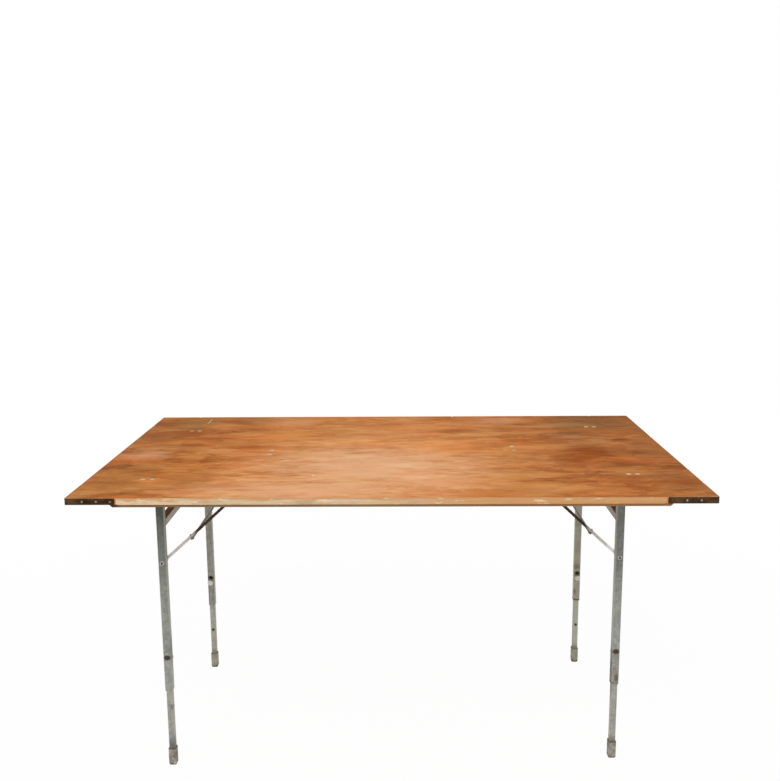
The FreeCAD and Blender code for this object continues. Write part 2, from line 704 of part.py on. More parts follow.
# Write every piece
def save_top():
    save("tabletop_panel", tabletop_panel())
    irons = []
    bracket_rivets = []
    keeper_rivets = []
    pins = []
    screws = []
    for row_name, row in ROWS.items():
        save(row_name + "_lipping", long_lipping(row))
        save(row_name + "_rail", rail(row))
        screws += [mirrored(rail_screw(x, y), LEFT, row) for x, y in rail_screw_places()]
        for side_name, side in SIDES.items():
            corner = row_name + "_" + side_name
            shift = frame_shift(side)
            save("corner_iron_" + corner, mirrored(corner_iron(), side, row))
            irons += [mirrored(iron_rivet(face, inwards), side, row) for face, inwards in iron_rivet_seats()]
            save("leg_bracket_" + corner, mirrored(leg_bracket(), side, row, shift))
            for x, y in bracket_rivet_places():
                bracket_rivets.append(mirrored(top_rivet(x, y, BRACKET_THICKNESS), side, row, shift))
            pins.append(mirrored(leg_pivot_pin(), side, row, shift))
            x, y = keeper_rivet_place()
            keeper_rivets.append(mirrored(top_rivet(x, y, KEEPER_PLATE_THICKNESS), side, row, shift))
    for side_name, side in SIDES.items():
        save(side_name + "_lipping", end_lipping(side))
        save(side_name + "_stay_keeper", mirrored(keeper(), side, FRONT, frame_shift(side)))
    save("corner_iron_rivets", Part.makeCompound(irons))
    save("leg_bracket_rivets", Part.makeCompound(bracket_rivets))
    save("stay_keeper_rivets", Part.makeCompound(keeper_rivets))
    save("leg_pivot_pins", Part.makeCompound(pins))
    save("rail_screws", Part.makeCompound(screws))


def save_leg_frame(side_name, side):
    shift = frame_shift(side)
    save(side_name + "_crossbar", mirrored(crossbar(), side, FRONT, shift))
    save(side_name + "_spreader", mirrored(spreader(), side, FRONT, shift))
    save(side_name + "_stay_pin", mirrored(stay_pin(), side, FRONT, shift))
    pairs = {
        "stay_bolts": stay_bolt(),
        "stay_nuts": stay_nut(),
        "screw_bosses": screw_boss(),
        "spreader_rivets": spreader_rivet(),
    }
    for name, shape in pairs.items():
        pair = [mirrored(shape, side, row, shift) for row in ROWS.values()]
        save(side_name + "_" + name, Part.makeCompound(pair))
    singles = {
        "upper_leg": upper_leg(),
        "lower_leg": lower_leg(),
        "foot": foot(),
        "clamp_screw": clamp_screw(),
        "stay_bar": stay_bar(),
    }
    for name, shape in singles.items():
        for row_name, row in ROWS.items():
            save(name + "_" + row_name + "_" + side_name, mirrored(shape, side, row, shift))


def main():
    os.makedirs("parts", exist_ok=True)
    save_top()
    for side_name, side in SIDES.items():
        save_leg_frame(side_name, side)
    print("stay slope", round(STAY_SLOPE, 3), "stay turn for each degree of fold", round(STAY_TURN_RATIO, 5))


main()
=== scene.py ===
# %% [markdown]
# # A folding trestle table, dressed
# A plywood board with iron-bound corners stands on two folding frames of square steel tube. The solids are
# already made and packed, so this lesson dresses them: a camera, soft light, a finish for every surface, and
# the small turned and welded pieces that a solid model leaves plain. All lengths are in metres, the floor is
# at height zero, the table's length runs along X and its front faces -Y.

# %% Load the packed table
import math

import bmesh
import bpy
from mathutils import Matrix, Vector


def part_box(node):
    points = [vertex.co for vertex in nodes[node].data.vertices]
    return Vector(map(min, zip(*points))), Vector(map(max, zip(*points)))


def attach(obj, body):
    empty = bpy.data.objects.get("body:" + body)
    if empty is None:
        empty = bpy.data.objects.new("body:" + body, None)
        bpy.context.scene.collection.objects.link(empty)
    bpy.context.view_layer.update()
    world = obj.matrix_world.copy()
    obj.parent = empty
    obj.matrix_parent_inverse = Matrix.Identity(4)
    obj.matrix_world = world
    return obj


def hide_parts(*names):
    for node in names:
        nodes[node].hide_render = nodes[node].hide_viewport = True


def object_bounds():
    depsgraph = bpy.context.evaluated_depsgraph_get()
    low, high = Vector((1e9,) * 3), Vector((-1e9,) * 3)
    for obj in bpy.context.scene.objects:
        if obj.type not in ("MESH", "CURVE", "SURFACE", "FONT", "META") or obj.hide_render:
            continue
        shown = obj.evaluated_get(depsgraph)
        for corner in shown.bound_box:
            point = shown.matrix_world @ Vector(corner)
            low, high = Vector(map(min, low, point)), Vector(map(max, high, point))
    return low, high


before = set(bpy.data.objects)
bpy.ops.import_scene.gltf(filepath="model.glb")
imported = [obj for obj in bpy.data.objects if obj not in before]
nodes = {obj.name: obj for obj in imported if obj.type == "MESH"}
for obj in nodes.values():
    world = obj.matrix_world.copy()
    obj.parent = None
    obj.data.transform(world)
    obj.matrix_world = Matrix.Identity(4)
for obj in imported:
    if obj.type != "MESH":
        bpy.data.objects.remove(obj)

cad_low, cad_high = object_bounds()
print("table box", [round(v, 3) for v in cad_low], [round(v, 3) for v in cad_high])

# %% [markdown]
# ## The camera
# The table is seen from standing eye height, almost square on to its long side. A Track To constraint could
# aim the camera, but the picture is also tilted by a third of a degree. So the camera's three axes are worked
# out from its turn, its dip and its roll, and go straight into its matrix.

# %% Place the camera
EYE = Vector((0.0356, -2.5121, 1.4097))
TURN = math.radians(-0.941)
DIP = math.radians(10.312)
ROLL = math.radians(-0.428)
LENS = 42.40
SENSOR = 36.0

ahead = Vector((math.sin(TURN) * math.cos(DIP), math.cos(TURN) * math.cos(DIP), -math.sin(DIP)))
level_right = Vector((math.cos(TURN), -math.sin(TURN), 0))
level_up = level_right.cross(ahead)
right = level_right * math.cos(ROLL) + level_up * math.sin(ROLL)
up = level_up * math.cos(ROLL) - level_right * math.sin(ROLL)

camera_lens = bpy.data.cameras.new("camera")
camera_lens.lens = LENS
camera_lens.sensor_width = SENSOR
camera = bpy.data.objects.new("camera", camera_lens)
camera.matrix_world = Matrix.Translation(EYE) @ Matrix((right, up, -ahead)).transposed().to_4x4()
bpy.context.scene.collection.objects.link(camera)
bpy.context.scene.camera = camera
bpy.context.scene.view_settings.view_transform = "Standard"
print("camera at", [round(v, 3) for v in EYE], "lens", LENS, "mm")

# %% [markdown]
# ## Shader maths in plain Python
# A finish is a graph of small nodes: noise, ramps, sums and mixes. Wiring each one by hand hides the idea,
# so a small class wraps a node's output, and ordinary operators on it add Math nodes. `1 - mask * 0.4` then
# reads as what it does.

# %% Wrap a socket
class Wire:
    """An output of a node. Operators on it add the Math nodes that work the expression out."""

    def __init__(self, graph, output):
        self.graph = graph
        self.output = output

    def maths(self, operation, *values):
        return self.graph.node("ShaderNodeMath", {"operation": operation}, dict(enumerate(values)))

    def other(self, name):
        return Wire(self.graph, self.output.node.outputs[name])

    def __add__(self, value):
        return self.maths("ADD", self, value)

    def __radd__(self, value):
        return self.maths("ADD", value, self)

    def __sub__(self, value):
        return self.maths("SUBTRACT", self, value)

    def __rsub__(self, value):
        return self.maths("SUBTRACT", value, self)

    def __mul__(self, value):
        return self.maths("MULTIPLY", self, value)

    def __rmul__(self, value):
        return self.maths("MULTIPLY", value, self)

    def __abs__(self):
        return self.maths("ABSOLUTE", self)


print("operators", [name for name in vars(Wire) if name.endswith(("add__", "sub__", "mul__", "abs__"))])

# %% [markdown]
# The node tree is wrapped too. One method adds any kind of node: its type, its settings, then its sockets. A
# socket takes a number or a link, whichever it is given.

# %% Wrap a node tree
class Graph:
    """The nodes of one material, or of the world."""

    def __init__(self, tree):
        self.tree = tree

    def feed(self, socket, value):
        if isinstance(value, Wire):
            self.tree.links.new(value.output, socket)
        else:
            socket.default_value = value

    def node(self, kind, settings=None, sockets=None, output=0):
        made = self.tree.nodes.new(kind)
        for name, value in (settings or {}).items():
            if name == "stops":
                ramp = made.color_ramp.elements
                while len(ramp) < len(value):
                    ramp.new(1.0)
                for element, (place, tint) in zip(ramp, value):
                    element.position = place
                    element.color = tint
            else:
                setattr(made, name, value)
        for name, value in (sockets or {}).items():
            self.feed(made.inputs[name], value)
        return Wire(self, made.outputs[output])


print("graph methods", [name for name in vars(Graph) if not name.startswith("_")])

# %% [markdown]
# ## Helpers for a finish
# Noise in the table's own coordinates stays put when a leg folds, because each piece keeps its own frame. A
# stretched noise gives grain. Its scale is in cells per metre along X, Y and Z, so a small number along one
# axis draws the grain out along it.

# %% Helpers for colours, places and noise
def shade(red, green, blue):
    """A linear colour from the 0 to 255 values of a colour picker, by the sRGB curve."""
    parts = [part / 255 for part in (red, green, blue)]
    return (*[p / 12.92 if p < 0.04045 else ((p + 0.055) / 1.055) ** 2.4 for p in parts], 1.0)


def tones(*stops):
    """Stops for a ramp: each a place from 0 to 1, then the values of a colour picker."""
    return [(place, shade(*picked)) for place, *picked in stops]


def here(graph):
    return graph.node("ShaderNodeTexCoord", output="Object")


def along(graph, vector):
    parts = graph.node("ShaderNodeSeparateXYZ", {}, {"Vector": vector})
    return parts, parts.other("Y"), parts.other("Z")


def facing(graph):
    return along(graph, graph.node("ShaderNodeTexCoord", output="Normal"))


def stretched(graph, place, scale, shift=(0, 0, 0)):
    return graph.node("ShaderNodeVectorMath", {"operation": "MULTIPLY_ADD"}, {0: place, 1: scale, 2: shift})


def cloud(graph, place, scale, detail=3.0, rough=0.55, shift=(0, 0, 0)):
    vector = stretched(graph, place, scale, shift)
    sockets = {"Vector": vector, "Scale": 1.0, "Detail": detail, "Roughness": rough}
    return graph.node("ShaderNodeTexNoise", {}, sockets)


print("a middle grey is", round(shade(128, 128, 128)[0], 3), "in linear light")

# %% [markdown]
# A smooth step turns a noise into a patch with soft edges. A spot is a patch at a chosen place, with half
# sizes along X, Y and Z, and a wobble that makes its edge ragged. Dirt and stains lie over a surface like
# coats of thin paint, so a list of masks and tints is mixed in from the lowest coat to the last.

# %% Helpers for masks, spots and relief
def step(graph, value, low, high):
    """0 below low, 1 above high, and smooth between."""
    sockets = {"Value": value, "From Min": low, "From Max": high}
    return graph.node("ShaderNodeMapRange", {"interpolation_type": "SMOOTHSTEP"}, sockets)


def blend(graph, factor, first, second):
    settings = {"data_type": "RGBA", "clamp_factor": True}
    return graph.node("ShaderNodeMix", settings, {0: factor, 6: first, 7: second}, output=2)


def coats(graph, colour, *layers):
    """A colour under several tints, laid over it one after another, each where its mask is."""
    for mask, tint in layers:
        colour = blend(graph, mask, colour, tint)
    return colour


def ramp(graph, value, stops):
    return graph.node("ShaderNodeValToRGB", {"stops": stops}, {"Fac": value})


def spot(graph, place, centre, half, wobble=0.0, inner=0.35):
    """1 inside an ellipsoid, 0 outside, with a soft edge that the wobble makes ragged."""
    scale = [1 / size for size in half]
    shift = [-at / size for at, size in zip(centre, half)]
    local = stretched(graph, place, scale, shift)
    reach = graph.node("ShaderNodeVectorMath", {"operation": "LENGTH"}, {0: local}, output="Value")
    return 1 - step(graph, reach + wobble, inner, 1.0)


def spots(graph, place, marks, wobble=0.0, inner=0.35):
    """The strongest of several spots, each a centre, its half sizes and its strength."""
    total = None
    for centre, half, strength in marks:
        mark = spot(graph, place, centre, half, wobble, inner) * strength
        total = mark if total is None else total.maths("MAXIMUM", total, mark)
    return total


def relief(graph, height, distance, strength=1.0):
    sockets = {"Height": height, "Distance": distance, "Strength": strength}
    return graph.node("ShaderNodeBump", {}, sockets)


print("mask helpers", [helper.__name__ for helper in (step, blend, coats, ramp, spot, spots, relief)])

# %% [markdown]
# A finish is a new material and its graph. It starts with a Principled shader, and `dress` feeds the colours
# and masks that were worked out into that shader's inputs.

# %% Start a finish
class Finish(Graph):
    """A new material, with its Principled shader."""

    def __init__(self, name, **constants):
        self.material = bpy.data.materials.new(name)
        self.material.use_nodes = True
        super().__init__(self.material.node_tree)
        self.shader = self.tree.nodes["Principled BSDF"]
        for socket, value in constants.items():
            self.shader.inputs[socket.replace("_", " ")].default_value = value

    def dress(self, **wires):
        for socket, wire in wires.items():
            self.feed(self.shader.inputs[socket.replace("_", " ")], wire)
        return self.material


print("finish methods", [name for name in vars(Finish) if not name.startswith("_")])

# %% [markdown]
# ## Floor, backdrop and light
# The table stands on white. Flooding a grey floor with light until it clips would wash out the wood, so the
# world and the floor show white only to rays that come from the camera or from a mirror-like bounce, and the
# light that falls on the table stays at a plain level.

# %% Make the white world
SKY_LIGHT = 0.60
FULL_WHITE = (1, 1, 1, 1)


def seen_directly(graph):
    rays = graph.node("ShaderNodeLightPath", output="Is Camera Ray")
    return rays + rays.other("Is Glossy Ray") + rays.other("Is Transmission Ray")


world = bpy.data.worlds.new("white_studio")
world.use_nodes = True
bpy.context.scene.world = world
sky = Graph(world.node_tree)
sky_glow = world.node_tree.nodes["Background"]
sky_glow.inputs["Color"].default_value = FULL_WHITE
sky_glow.inputs["Strength"].default_value = SKY_LIGHT
backdrop = sky.node("ShaderNodeBackground", {}, {"Color": FULL_WHITE, "Strength": 1.0})
sky_sockets = {0: seen_directly(sky), 1: Wire(sky, sky_glow.outputs[0]), 2: backdrop}
sky_mix = sky.node("ShaderNodeMixShader", {}, sky_sockets)
sky.feed(world.node_tree.nodes["World Output"].inputs["Surface"], sky_mix)
print("sky light", SKY_LIGHT)

# %% [markdown]
# A small share of the floor stays a real matt surface, enough to catch the table's soft shadow. Far away it
# fades fully into the white, so that no horizon shows.

# %% Lay the floor
FLOOR_REACH = 14.0
FLOOR_DEPTH = 0.0005
FLOOR_WHITE = 0.965
FLOOR_MATT = shade(238, 238, 236)
FADE_START = 0.9
FADE_END = 3.2

floor_finish = Finish("floor_white", Roughness=0.9, Specular_IOR_Level=0.0)
floor_finish.shader.inputs["Base Color"].default_value = FLOOR_MATT
distance = floor_finish.node(
    "ShaderNodeVectorMath", {"operation": "LENGTH"}, {0: here(floor_finish)}, output="Value")
far_off = step(floor_finish, distance, FADE_START, FADE_END)
whiteness = seen_directly(floor_finish) * (FLOOR_WHITE + (1 - FLOOR_WHITE) * far_off)
glow = floor_finish.node("ShaderNodeEmission", {}, {"Color": FULL_WHITE, "Strength": 1.0})
floor_sockets = {0: whiteness, 1: Wire(floor_finish, floor_finish.shader.outputs[0]), 2: glow}
floor_mix = floor_finish.node("ShaderNodeMixShader", {}, floor_sockets)
floor_finish.feed(floor_finish.tree.nodes["Material Output"].inputs["Surface"], floor_mix)

floor_mesh = bpy.data.meshes.new("floor")
ways = ((-1, -1), (1, -1), (1, 1), (-1, 1))
corners = [(x * FLOOR_REACH, y * FLOOR_REACH, -FLOOR_DEPTH) for x, y in ways]
floor_mesh.from_pydata(corners, [], [(0, 1, 2, 3)])
floor_mesh.materials.append(floor_finish.material)
floor = bpy.data.objects.new("floor", floor_mesh)
bpy.context.scene.collection.objects.link(floor)
print("floor", 2 * FLOOR_REACH, "m square")

# %% [markdown]
# One broad lamp high in front of the table and a weaker one behind it are enough. A big lamp close to the
# object gives soft shadow edges. It hangs high, so the board shades the upper ends of the legs.

# %% Hang the lamps
TABLE_MIDDLE = Vector((0, 0, 0.55))
LAMPS = {
    "front_lamp": {"place": (-0.5, -2.6, 3.2), "width": 3.6, "height": 2.0, "watts": 78},
    "rear_lamp": {"place": (0.9, 2.6, 3.0), "width": 2.6, "height": 1.4, "watts": 16},
}
for lamp_name, setting in LAMPS.items():
    light = bpy.data.lights.new(lamp_name, "AREA")
    light.shape = "RECTANGLE"
    light.size = setting["width"]
    light.size_y = setting["height"]
    light.energy = setting["watts"]
    lamp = bpy.data.objects.new(lamp_name, light)
    lamp.location = setting["place"]
    lamp.rotation_euler = (TABLE_MIDDLE - lamp.location).to_track_quat("-Z", "Y").to_euler()
    bpy.context.scene.collection.objects.link(lamp)
    print(lamp_name, setting["watts"], "W")

# %% [markdown]
# ## The plywood top
# The board is faced with rotary-cut veneer: the knife peels the log like a paper roll, so the growth rings
# open into flames along the board. A photograph of veneer would be one way. Noise stretched along X gives
# the same figure at any size: a broad one for the tone of the sheet, a middle one for the flames, bent
# sideways by a slow drift, then the growth lines and the fibres. Where the knife runs out of a ring the
# figure breaks into flat patches. Voronoi cells with frayed edges give those.

# %% Grain that runs along the board
SHEET_GRAIN = (1.7, 4.5, 1.0)
FLAME_GRAIN = (5.4, 15.0, 1.0)
LINE_GRAIN = (10.0, 120.0, 1.0)
FIBRE_GRAIN = (5.0, 290.0, 200.0)
DRIFT = (2.4, 4.0, 1.0)
DRIFT_REACH = 0.14
FRAY = (26.0, 66.0, 1.0)
FRAY_REACH = (0.9, 0.7, 0.0)


def flamed_grain(graph, place):
    """Four noises along X, about 0 to 1: the sheet's tone, the flames, the growth lines and the fibres."""
    x, y, z = along(graph, place)
    drift = cloud(graph, place, DRIFT, detail=2.0) - 0.5
    bent = graph.node("ShaderNodeCombineXYZ", {}, {"X": x, "Y": y + drift * DRIFT_REACH, "Z": z})
    sheet = cloud(graph, place, SHEET_GRAIN, detail=2.0)
    flames = cloud(graph, bent, FLAME_GRAIN, detail=1.5, rough=0.50)
    lines = cloud(graph, bent, LINE_GRAIN, detail=4.0, rough=0.6)
    fibres = cloud(graph, bent, FIBRE_GRAIN, detail=4.0, rough=0.65)
    return sheet, flames, lines, fibres


def flakes(graph, place, scale, shift):
    """Flat patches with frayed edges, each of one random tone from 0 to 1."""
    sockets = {"Vector": stretched(graph, place, FRAY), "Scale": 1.0}
    fray = graph.node("ShaderNodeTexNoise", {}, sockets, output="Color")
    frayed = stretched(graph, fray, FRAY_REACH, stretched(graph, place, scale, shift))
    cells = graph.node("ShaderNodeTexVoronoi", {}, {"Vector": frayed, "Scale": 1.0}, output="Color")
    return along(graph, cells)[0]


print("flames about", round(1000 / FLAME_GRAIN[0]), "mm long and", round(1000 / FLAME_GRAIN[1]), "mm wide")

# %% [markdown]
# The middle of the board is paler with a painted sheen, and years of use have darkened its ends and greyed
# its corners. A painted mask would do, but it ties the stains to one picture. As spots they keep their sizes
# in metres, and one can be moved by changing a number.

# %% Mark the stains and the pale patches
TOP_FACE = cad_high.z
MARK_DEPTH = 0.1


def top_mark(x, y, half_x, half_y, strength):
    return ((x, y, TOP_FACE), (half_x, half_y, MARK_DEPTH), strength)


DARK_STREAKS = [
    top_mark(0.505, -0.100, 0.105, 0.090, 1.0),
    top_mark(0.555, -0.020, 0.090, 0.105, 0.9),
    top_mark(0.605, -0.145, 0.045, 0.070, 0.6),
    top_mark(0.731, -0.330, 0.060, 0.085, 0.6),
    top_mark(0.520, -0.367, 0.120, 0.022, 0.3),
    top_mark(-0.680, 0.370, 0.120, 0.060, 0.5),
    top_mark(-0.690, 0.140, 0.110, 0.070, 0.5),
    top_mark(-0.575, 0.146, 0.150, 0.036, 0.45),
    top_mark(-0.423, 0.044, 0.130, 0.034, 0.50),
    top_mark(-0.548, -0.101, 0.090, 0.026, 0.30),
    top_mark(-0.650, -0.205, 0.095, 0.040, 0.50),
    top_mark(-0.605, -0.223, 0.034, 0.042, 0.60),
    top_mark(-0.690, -0.330, 0.085, 0.065, 0.50),
    top_mark(0.189, 0.240, 0.150, 0.050, 0.60),
    top_mark(-0.190, 0.179, 0.120, 0.034, 0.40),
    top_mark(0.410, 0.118, 0.140, 0.050, 0.60),
    top_mark(-0.360, -0.388, 0.070, 0.018, 0.45),
]
# Painted sheen: the pale patches, broadest over the middle of the board, paint the soft reflection of a
# varnished top.
SHEEN_AND_PALE_PATCHES = [
    top_mark(-0.060, -0.160, 0.420, 0.340, 1.0),
    top_mark(-0.200, -0.390, 0.480, 0.150, 0.9),
    top_mark(-0.680, -0.040, 0.120, 0.090, 0.55),
    top_mark(-0.340, 0.370, 0.130, 0.080, 0.4),
    top_mark(0.340, 0.370, 0.130, 0.080, 0.4),
    top_mark(0.080, -0.310, 0.240, 0.140, 0.6),
]
GLOW = [
    top_mark(0.150, 0.035, 0.230, 0.130, 1.0),
    top_mark(-0.330, 0.170, 0.200, 0.100, 0.5),
    top_mark(-0.050, 0.090, 0.260, 0.080, 0.6),
    top_mark(0.090, 0.270, 0.230, 0.070, 0.6),
    top_mark(0.420, 0.060, 0.130, 0.110, 0.4),
]
OLIVE_CORNERS = [
    top_mark(-0.630, 0.370, 0.140, 0.140, 0.9),
    top_mark(-0.420, 0.420, 0.200, 0.070, 0.7),
    top_mark(0.600, 0.340, 0.300, 0.190, 0.9),
    top_mark(0.720, 0.000, 0.090, 0.200, 0.55),
    top_mark(-0.680, -0.300, 0.130, 0.220, 0.95),
    top_mark(-0.700, -0.300, 0.070, 0.090, 1.0),
    top_mark(-0.510, -0.310, 0.150, 0.140, 0.60),
]
SPECKS = [
    top_mark(-0.197, -0.261, 0.0040, 0.0080, 0.9),
    top_mark(0.190, 0.450, 0.0060, 0.0060, 1.0),
    top_mark(-0.595, 0.390, 0.0050, 0.0500, 0.30),
]
print("stains", len(DARK_STREAKS), "pale patches", len(SHEEN_AND_PALE_PATCHES), "specks", len(SPECKS))

# %% [markdown]
# Seen close, the veneer's tone is a sum: each noise, less its middle, times the share it gets. One noise with
# many octaves would be quicker, but then no part of the figure could be changed on its own. Short flecks,
# dark and pale, are the ends of cut pores.

# %% Tone the veneer
BROAD_FLAKES = (8.5, 17.0, 1.0)
SMALL_FLAKES = (20.0, 38.0, 1.0)
FLECKS = (29.0, 104.0, 1.0)
MIDDLE_TONE = 0.55


def veneer_tone(finish, place, grain):
    """The tone of the bare grain: low is dark wood and high is pale wood."""
    sheet, flames, lines, fibres = grain
    tone = MIDDLE_TONE + (sheet - 0.5) * 0.30 + (flames - 0.5) * 0.47
    tone = tone + (lines - 0.5) * 0.11 + (fibres - 0.5) * 0.56
    tone = tone + (flakes(finish, place, BROAD_FLAKES, (3, 9, 0)) - 0.5) * 0.20
    tone = tone + (flakes(finish, place, SMALL_FLAKES, (1, 4, 0)) - 0.5) * 0.17
    flecks = cloud(finish, place, FLECKS, detail=3.0, shift=(6, 2, 0))
    dark_flecks = step(finish, flecks, 0.62, 0.67)
    pale_flecks = 1 - step(finish, flecks, 0.32, 0.37)
    return tone - dark_flecks * 0.12 + pale_flecks * 0.08


print("flakes per metre", BROAD_FLAKES[:2], "and", SMALL_FLAKES[:2])

# %% [markdown]
# A ramp from dark to pale wood turns the tone into colour. Then come the tints, one over the other as varnish
# and dirt are: first redder and yellower sheets of veneer, then the painted sheen on the pale middle, and the
# stains last.

# %% Stain the veneer
VENEER = tones(
    (0.00, 114, 54, 8),
    (0.25, 154, 86, 28),
    (0.50, 190, 118, 56),
    (0.75, 212, 146, 88),
    (1.00, 231, 180, 131),
)
SHEEN_PEACH = shade(226, 178, 140)
ORANGE_GLOW = shade(232, 144, 68)
OLIVE = shade(138, 103, 52)
RED_BROWN = shade(142, 66, 10)
RED_ORANGE = shade(208, 112, 50)
YELLOW_TAN = shade(202, 146, 86)
HUE_PATCHES = (4.3, 11.5, 1.0)


def stained_veneer(finish, place, grain, dark, pale, ragged):
    """The veneer's colour, from its grain and the masks of its dark marks and of its pale marks with painted
    sheen.
    """
    x, y, _ = along(finish, place)
    ends = step(finish, 0 - x, 0.28, 0.76) * 0.24 + step(finish, x, 0.14, 0.64) * 0.30
    rear = step(finish, y, 0.05, 0.40)
    # The pale mask is a painted sheen: it lifts the tone here and tints the veneer peach below.
    tone = veneer_tone(finish, place, grain) + pale * 0.18 - dark * 0.16 - ends - rear * 0.08
    hue = cloud(finish, place, HUE_PATCHES, detail=4.0, shift=(11, 5, 0))
    return coats(
        finish, ramp(finish, tone, VENEER),
        (step(finish, hue, 0.50, 0.66) * 0.34, RED_ORANGE),
        ((1 - step(finish, hue, 0.36, 0.50)) * 0.34, YELLOW_TAN),
        (pale * 0.55, SHEEN_PEACH),
        (spots(finish, place, GLOW, ragged * 0.5, inner=0.0) * 0.50, ORANGE_GLOW),
        (spots(finish, place, OLIVE_CORNERS, ragged, inner=0.0) * 0.50, OLIVE),
        (dark * 0.62, RED_BROWN),
    )


print("veneer tones", len(VENEER))

# %% [markdown]
# On its underside and its edges the same board shows a plain back and its plies. Three materials on three
# sets of faces would do. Here the direction that the surface faces picks between the three colours, so the
# board stays one piece with one finish. The plies are a sine of the height.

# %% Build the plywood finish
SCUFF_PALE = shade(232, 208, 170)
PLY_BACK = tones((0.2, 150, 104, 60), (0.5, 184, 138, 88), (0.8, 204, 164, 116))
PLY_EDGE = tones((0.3, 196, 130, 74), (0.7, 226, 160, 102))
PLY_LAYERS = 5
BOARD_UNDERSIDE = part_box("tabletop_panel")[0].z
PLY_WAVE = PLY_LAYERS * math.pi / (TOP_FACE - BOARD_UNDERSIDE)
RAGGED = (14.0, 46.0, 1.0)
SCUFFS = (160.0, 14.0, 1.0)
WEAR_PATCHES = (6.0, 9.0, 1.0)


def plywood_top():
    finish = Finish("plywood_top", Specular_IOR_Level=0.02)
    place = here(finish)
    grain = flamed_grain(finish, place)
    _, flames, lines, fibres = grain
    ragged = (cloud(finish, place, RAGGED, detail=6.0, rough=0.65) - 0.5) * 1.9
    dark = spots(finish, place, DARK_STREAKS, ragged, inner=0.1)
    # The pale mask paints a sheen over the middle of the board.
    pale = spots(finish, place, SHEEN_AND_PALE_PATCHES, ragged * 0.8, inner=0.0)
    scuff = cloud(finish, place, SCUFFS, detail=2.0, rough=0.7, shift=(0.3, 0.1, 0.0))
    scuffs = step(finish, scuff, 0.70, 0.80) * 0.16
    specks = scuffs.maths("MAXIMUM", scuffs, spots(finish, place, SPECKS))
    veneer = stained_veneer(finish, place, grain, dark, pale, ragged)
    veneer = blend(finish, specks, veneer, SCUFF_PALE)
    back = ramp(finish, flames * 0.6 + lines * 0.4, PLY_BACK)
    layer = (along(finish, place)[2] - BOARD_UNDERSIDE) * PLY_WAVE
    plies = ramp(finish, layer.maths("SINE", layer) * 0.3 + 0.35 + fibres * 0.3, PLY_EDGE)
    upward = facing(finish)[2]
    colour = coats(
        finish, back, (step(finish, upward, -0.6, -0.4), plies), (step(finish, upward, 0.4, 0.6), veneer))
    wear = cloud(finish, place, WEAR_PATCHES, detail=4.0, shift=(2, 8, 0))
    height = fibres * 0.5 + lines * 0.5 + specks * 0.6
    return finish.dress(
        Base_Color=colour,
        Roughness=0.55 + (wear - 0.5) * 0.25 + dark * 0.08 - pale * 0.06,
        Normal=relief(finish, height, 0.0004, 0.4),
    )


PLYWOOD = plywood_top()
print("plywood nodes", len(PLYWOOD.node_tree.nodes))

# %% [markdown]
# ## Strips and rails of solid wood
# Thin strips of hardwood close the board's edges, and a rail stiffens each long side from below. Their grain
# follows their own length, so the same finish is made once along X and once along Y. The board's varnish laps
# over the front strip's upper edge and has chipped. Height gives the lap, and a fine noise gives the chips.

# %% Lap varnish over an edge
LAPPED_VARNISH = shade(208, 146, 96)
CHIP_PALE = shade(234, 206, 158)
CHIPS = (30.0, 30.0, 150.0)
LAP_DEPTH = 0.0075
LAP_FULL = 0.001


def lap_varnish(finish, place, colour, height, share):
    """Varnish over the upper edge, where the uneven height comes near the top face, and pale chips."""
    lapped = step(finish, height, TOP_FACE - LAP_DEPTH, TOP_FACE - LAP_FULL)
    chips = step(finish, cloud(finish, place, CHIPS, shift=(8, 3, 6)), 0.60, 0.68)
    return coats(finish, colour, (lapped * share, LAPPED_VARNISH), (chips * 0.60, CHIP_PALE))


print("varnish laps down", round(1000 * LAP_DEPTH, 1), "mm")

# %% [markdown]
# The front strip is pale and greyed by handling on the left, and towards the right it turns warm, where it
# has soaked up varnish. The other strips are browner, and one end of the rail is darkened with painted shade.
# They share one function, and each call says which of these it has.

# %% Build the strip and rail finishes
STRIP_WORN = tones((0.20, 154, 130, 98), (0.45, 202, 176, 141), (0.75, 222, 200, 168))
STRIP_WARM = tones((0.20, 150, 98, 54), (0.45, 194, 143, 92), (0.75, 214, 170, 122))
STRIP_DARK = tones((0.20, 86, 58, 32), (0.45, 122, 86, 50), (0.75, 154, 114, 72))
RAIL_BROWN = tones((0.20, 122, 82, 44), (0.50, 168, 122, 74), (0.80, 194, 150, 100))
RAIL_WARM = tones((0.20, 120, 72, 30), (0.50, 168, 112, 58), (0.80, 196, 144, 88))
HANDLED = shade(150, 134, 110)
HANDLED_DARK = shade(96, 72, 46)
DIRT_LINE = shade(98, 64, 34)
SHADE_DARK = shade(58, 36, 18)
GRAIN_ALONG_X = (3.0, 150.0, 260.0)
GRAIN_ALONG_Y = (150.0, 3.0, 260.0)
HANDLING = (13.0, 13.0, 70.0)
ARRIS_DEPTH = 0.0022


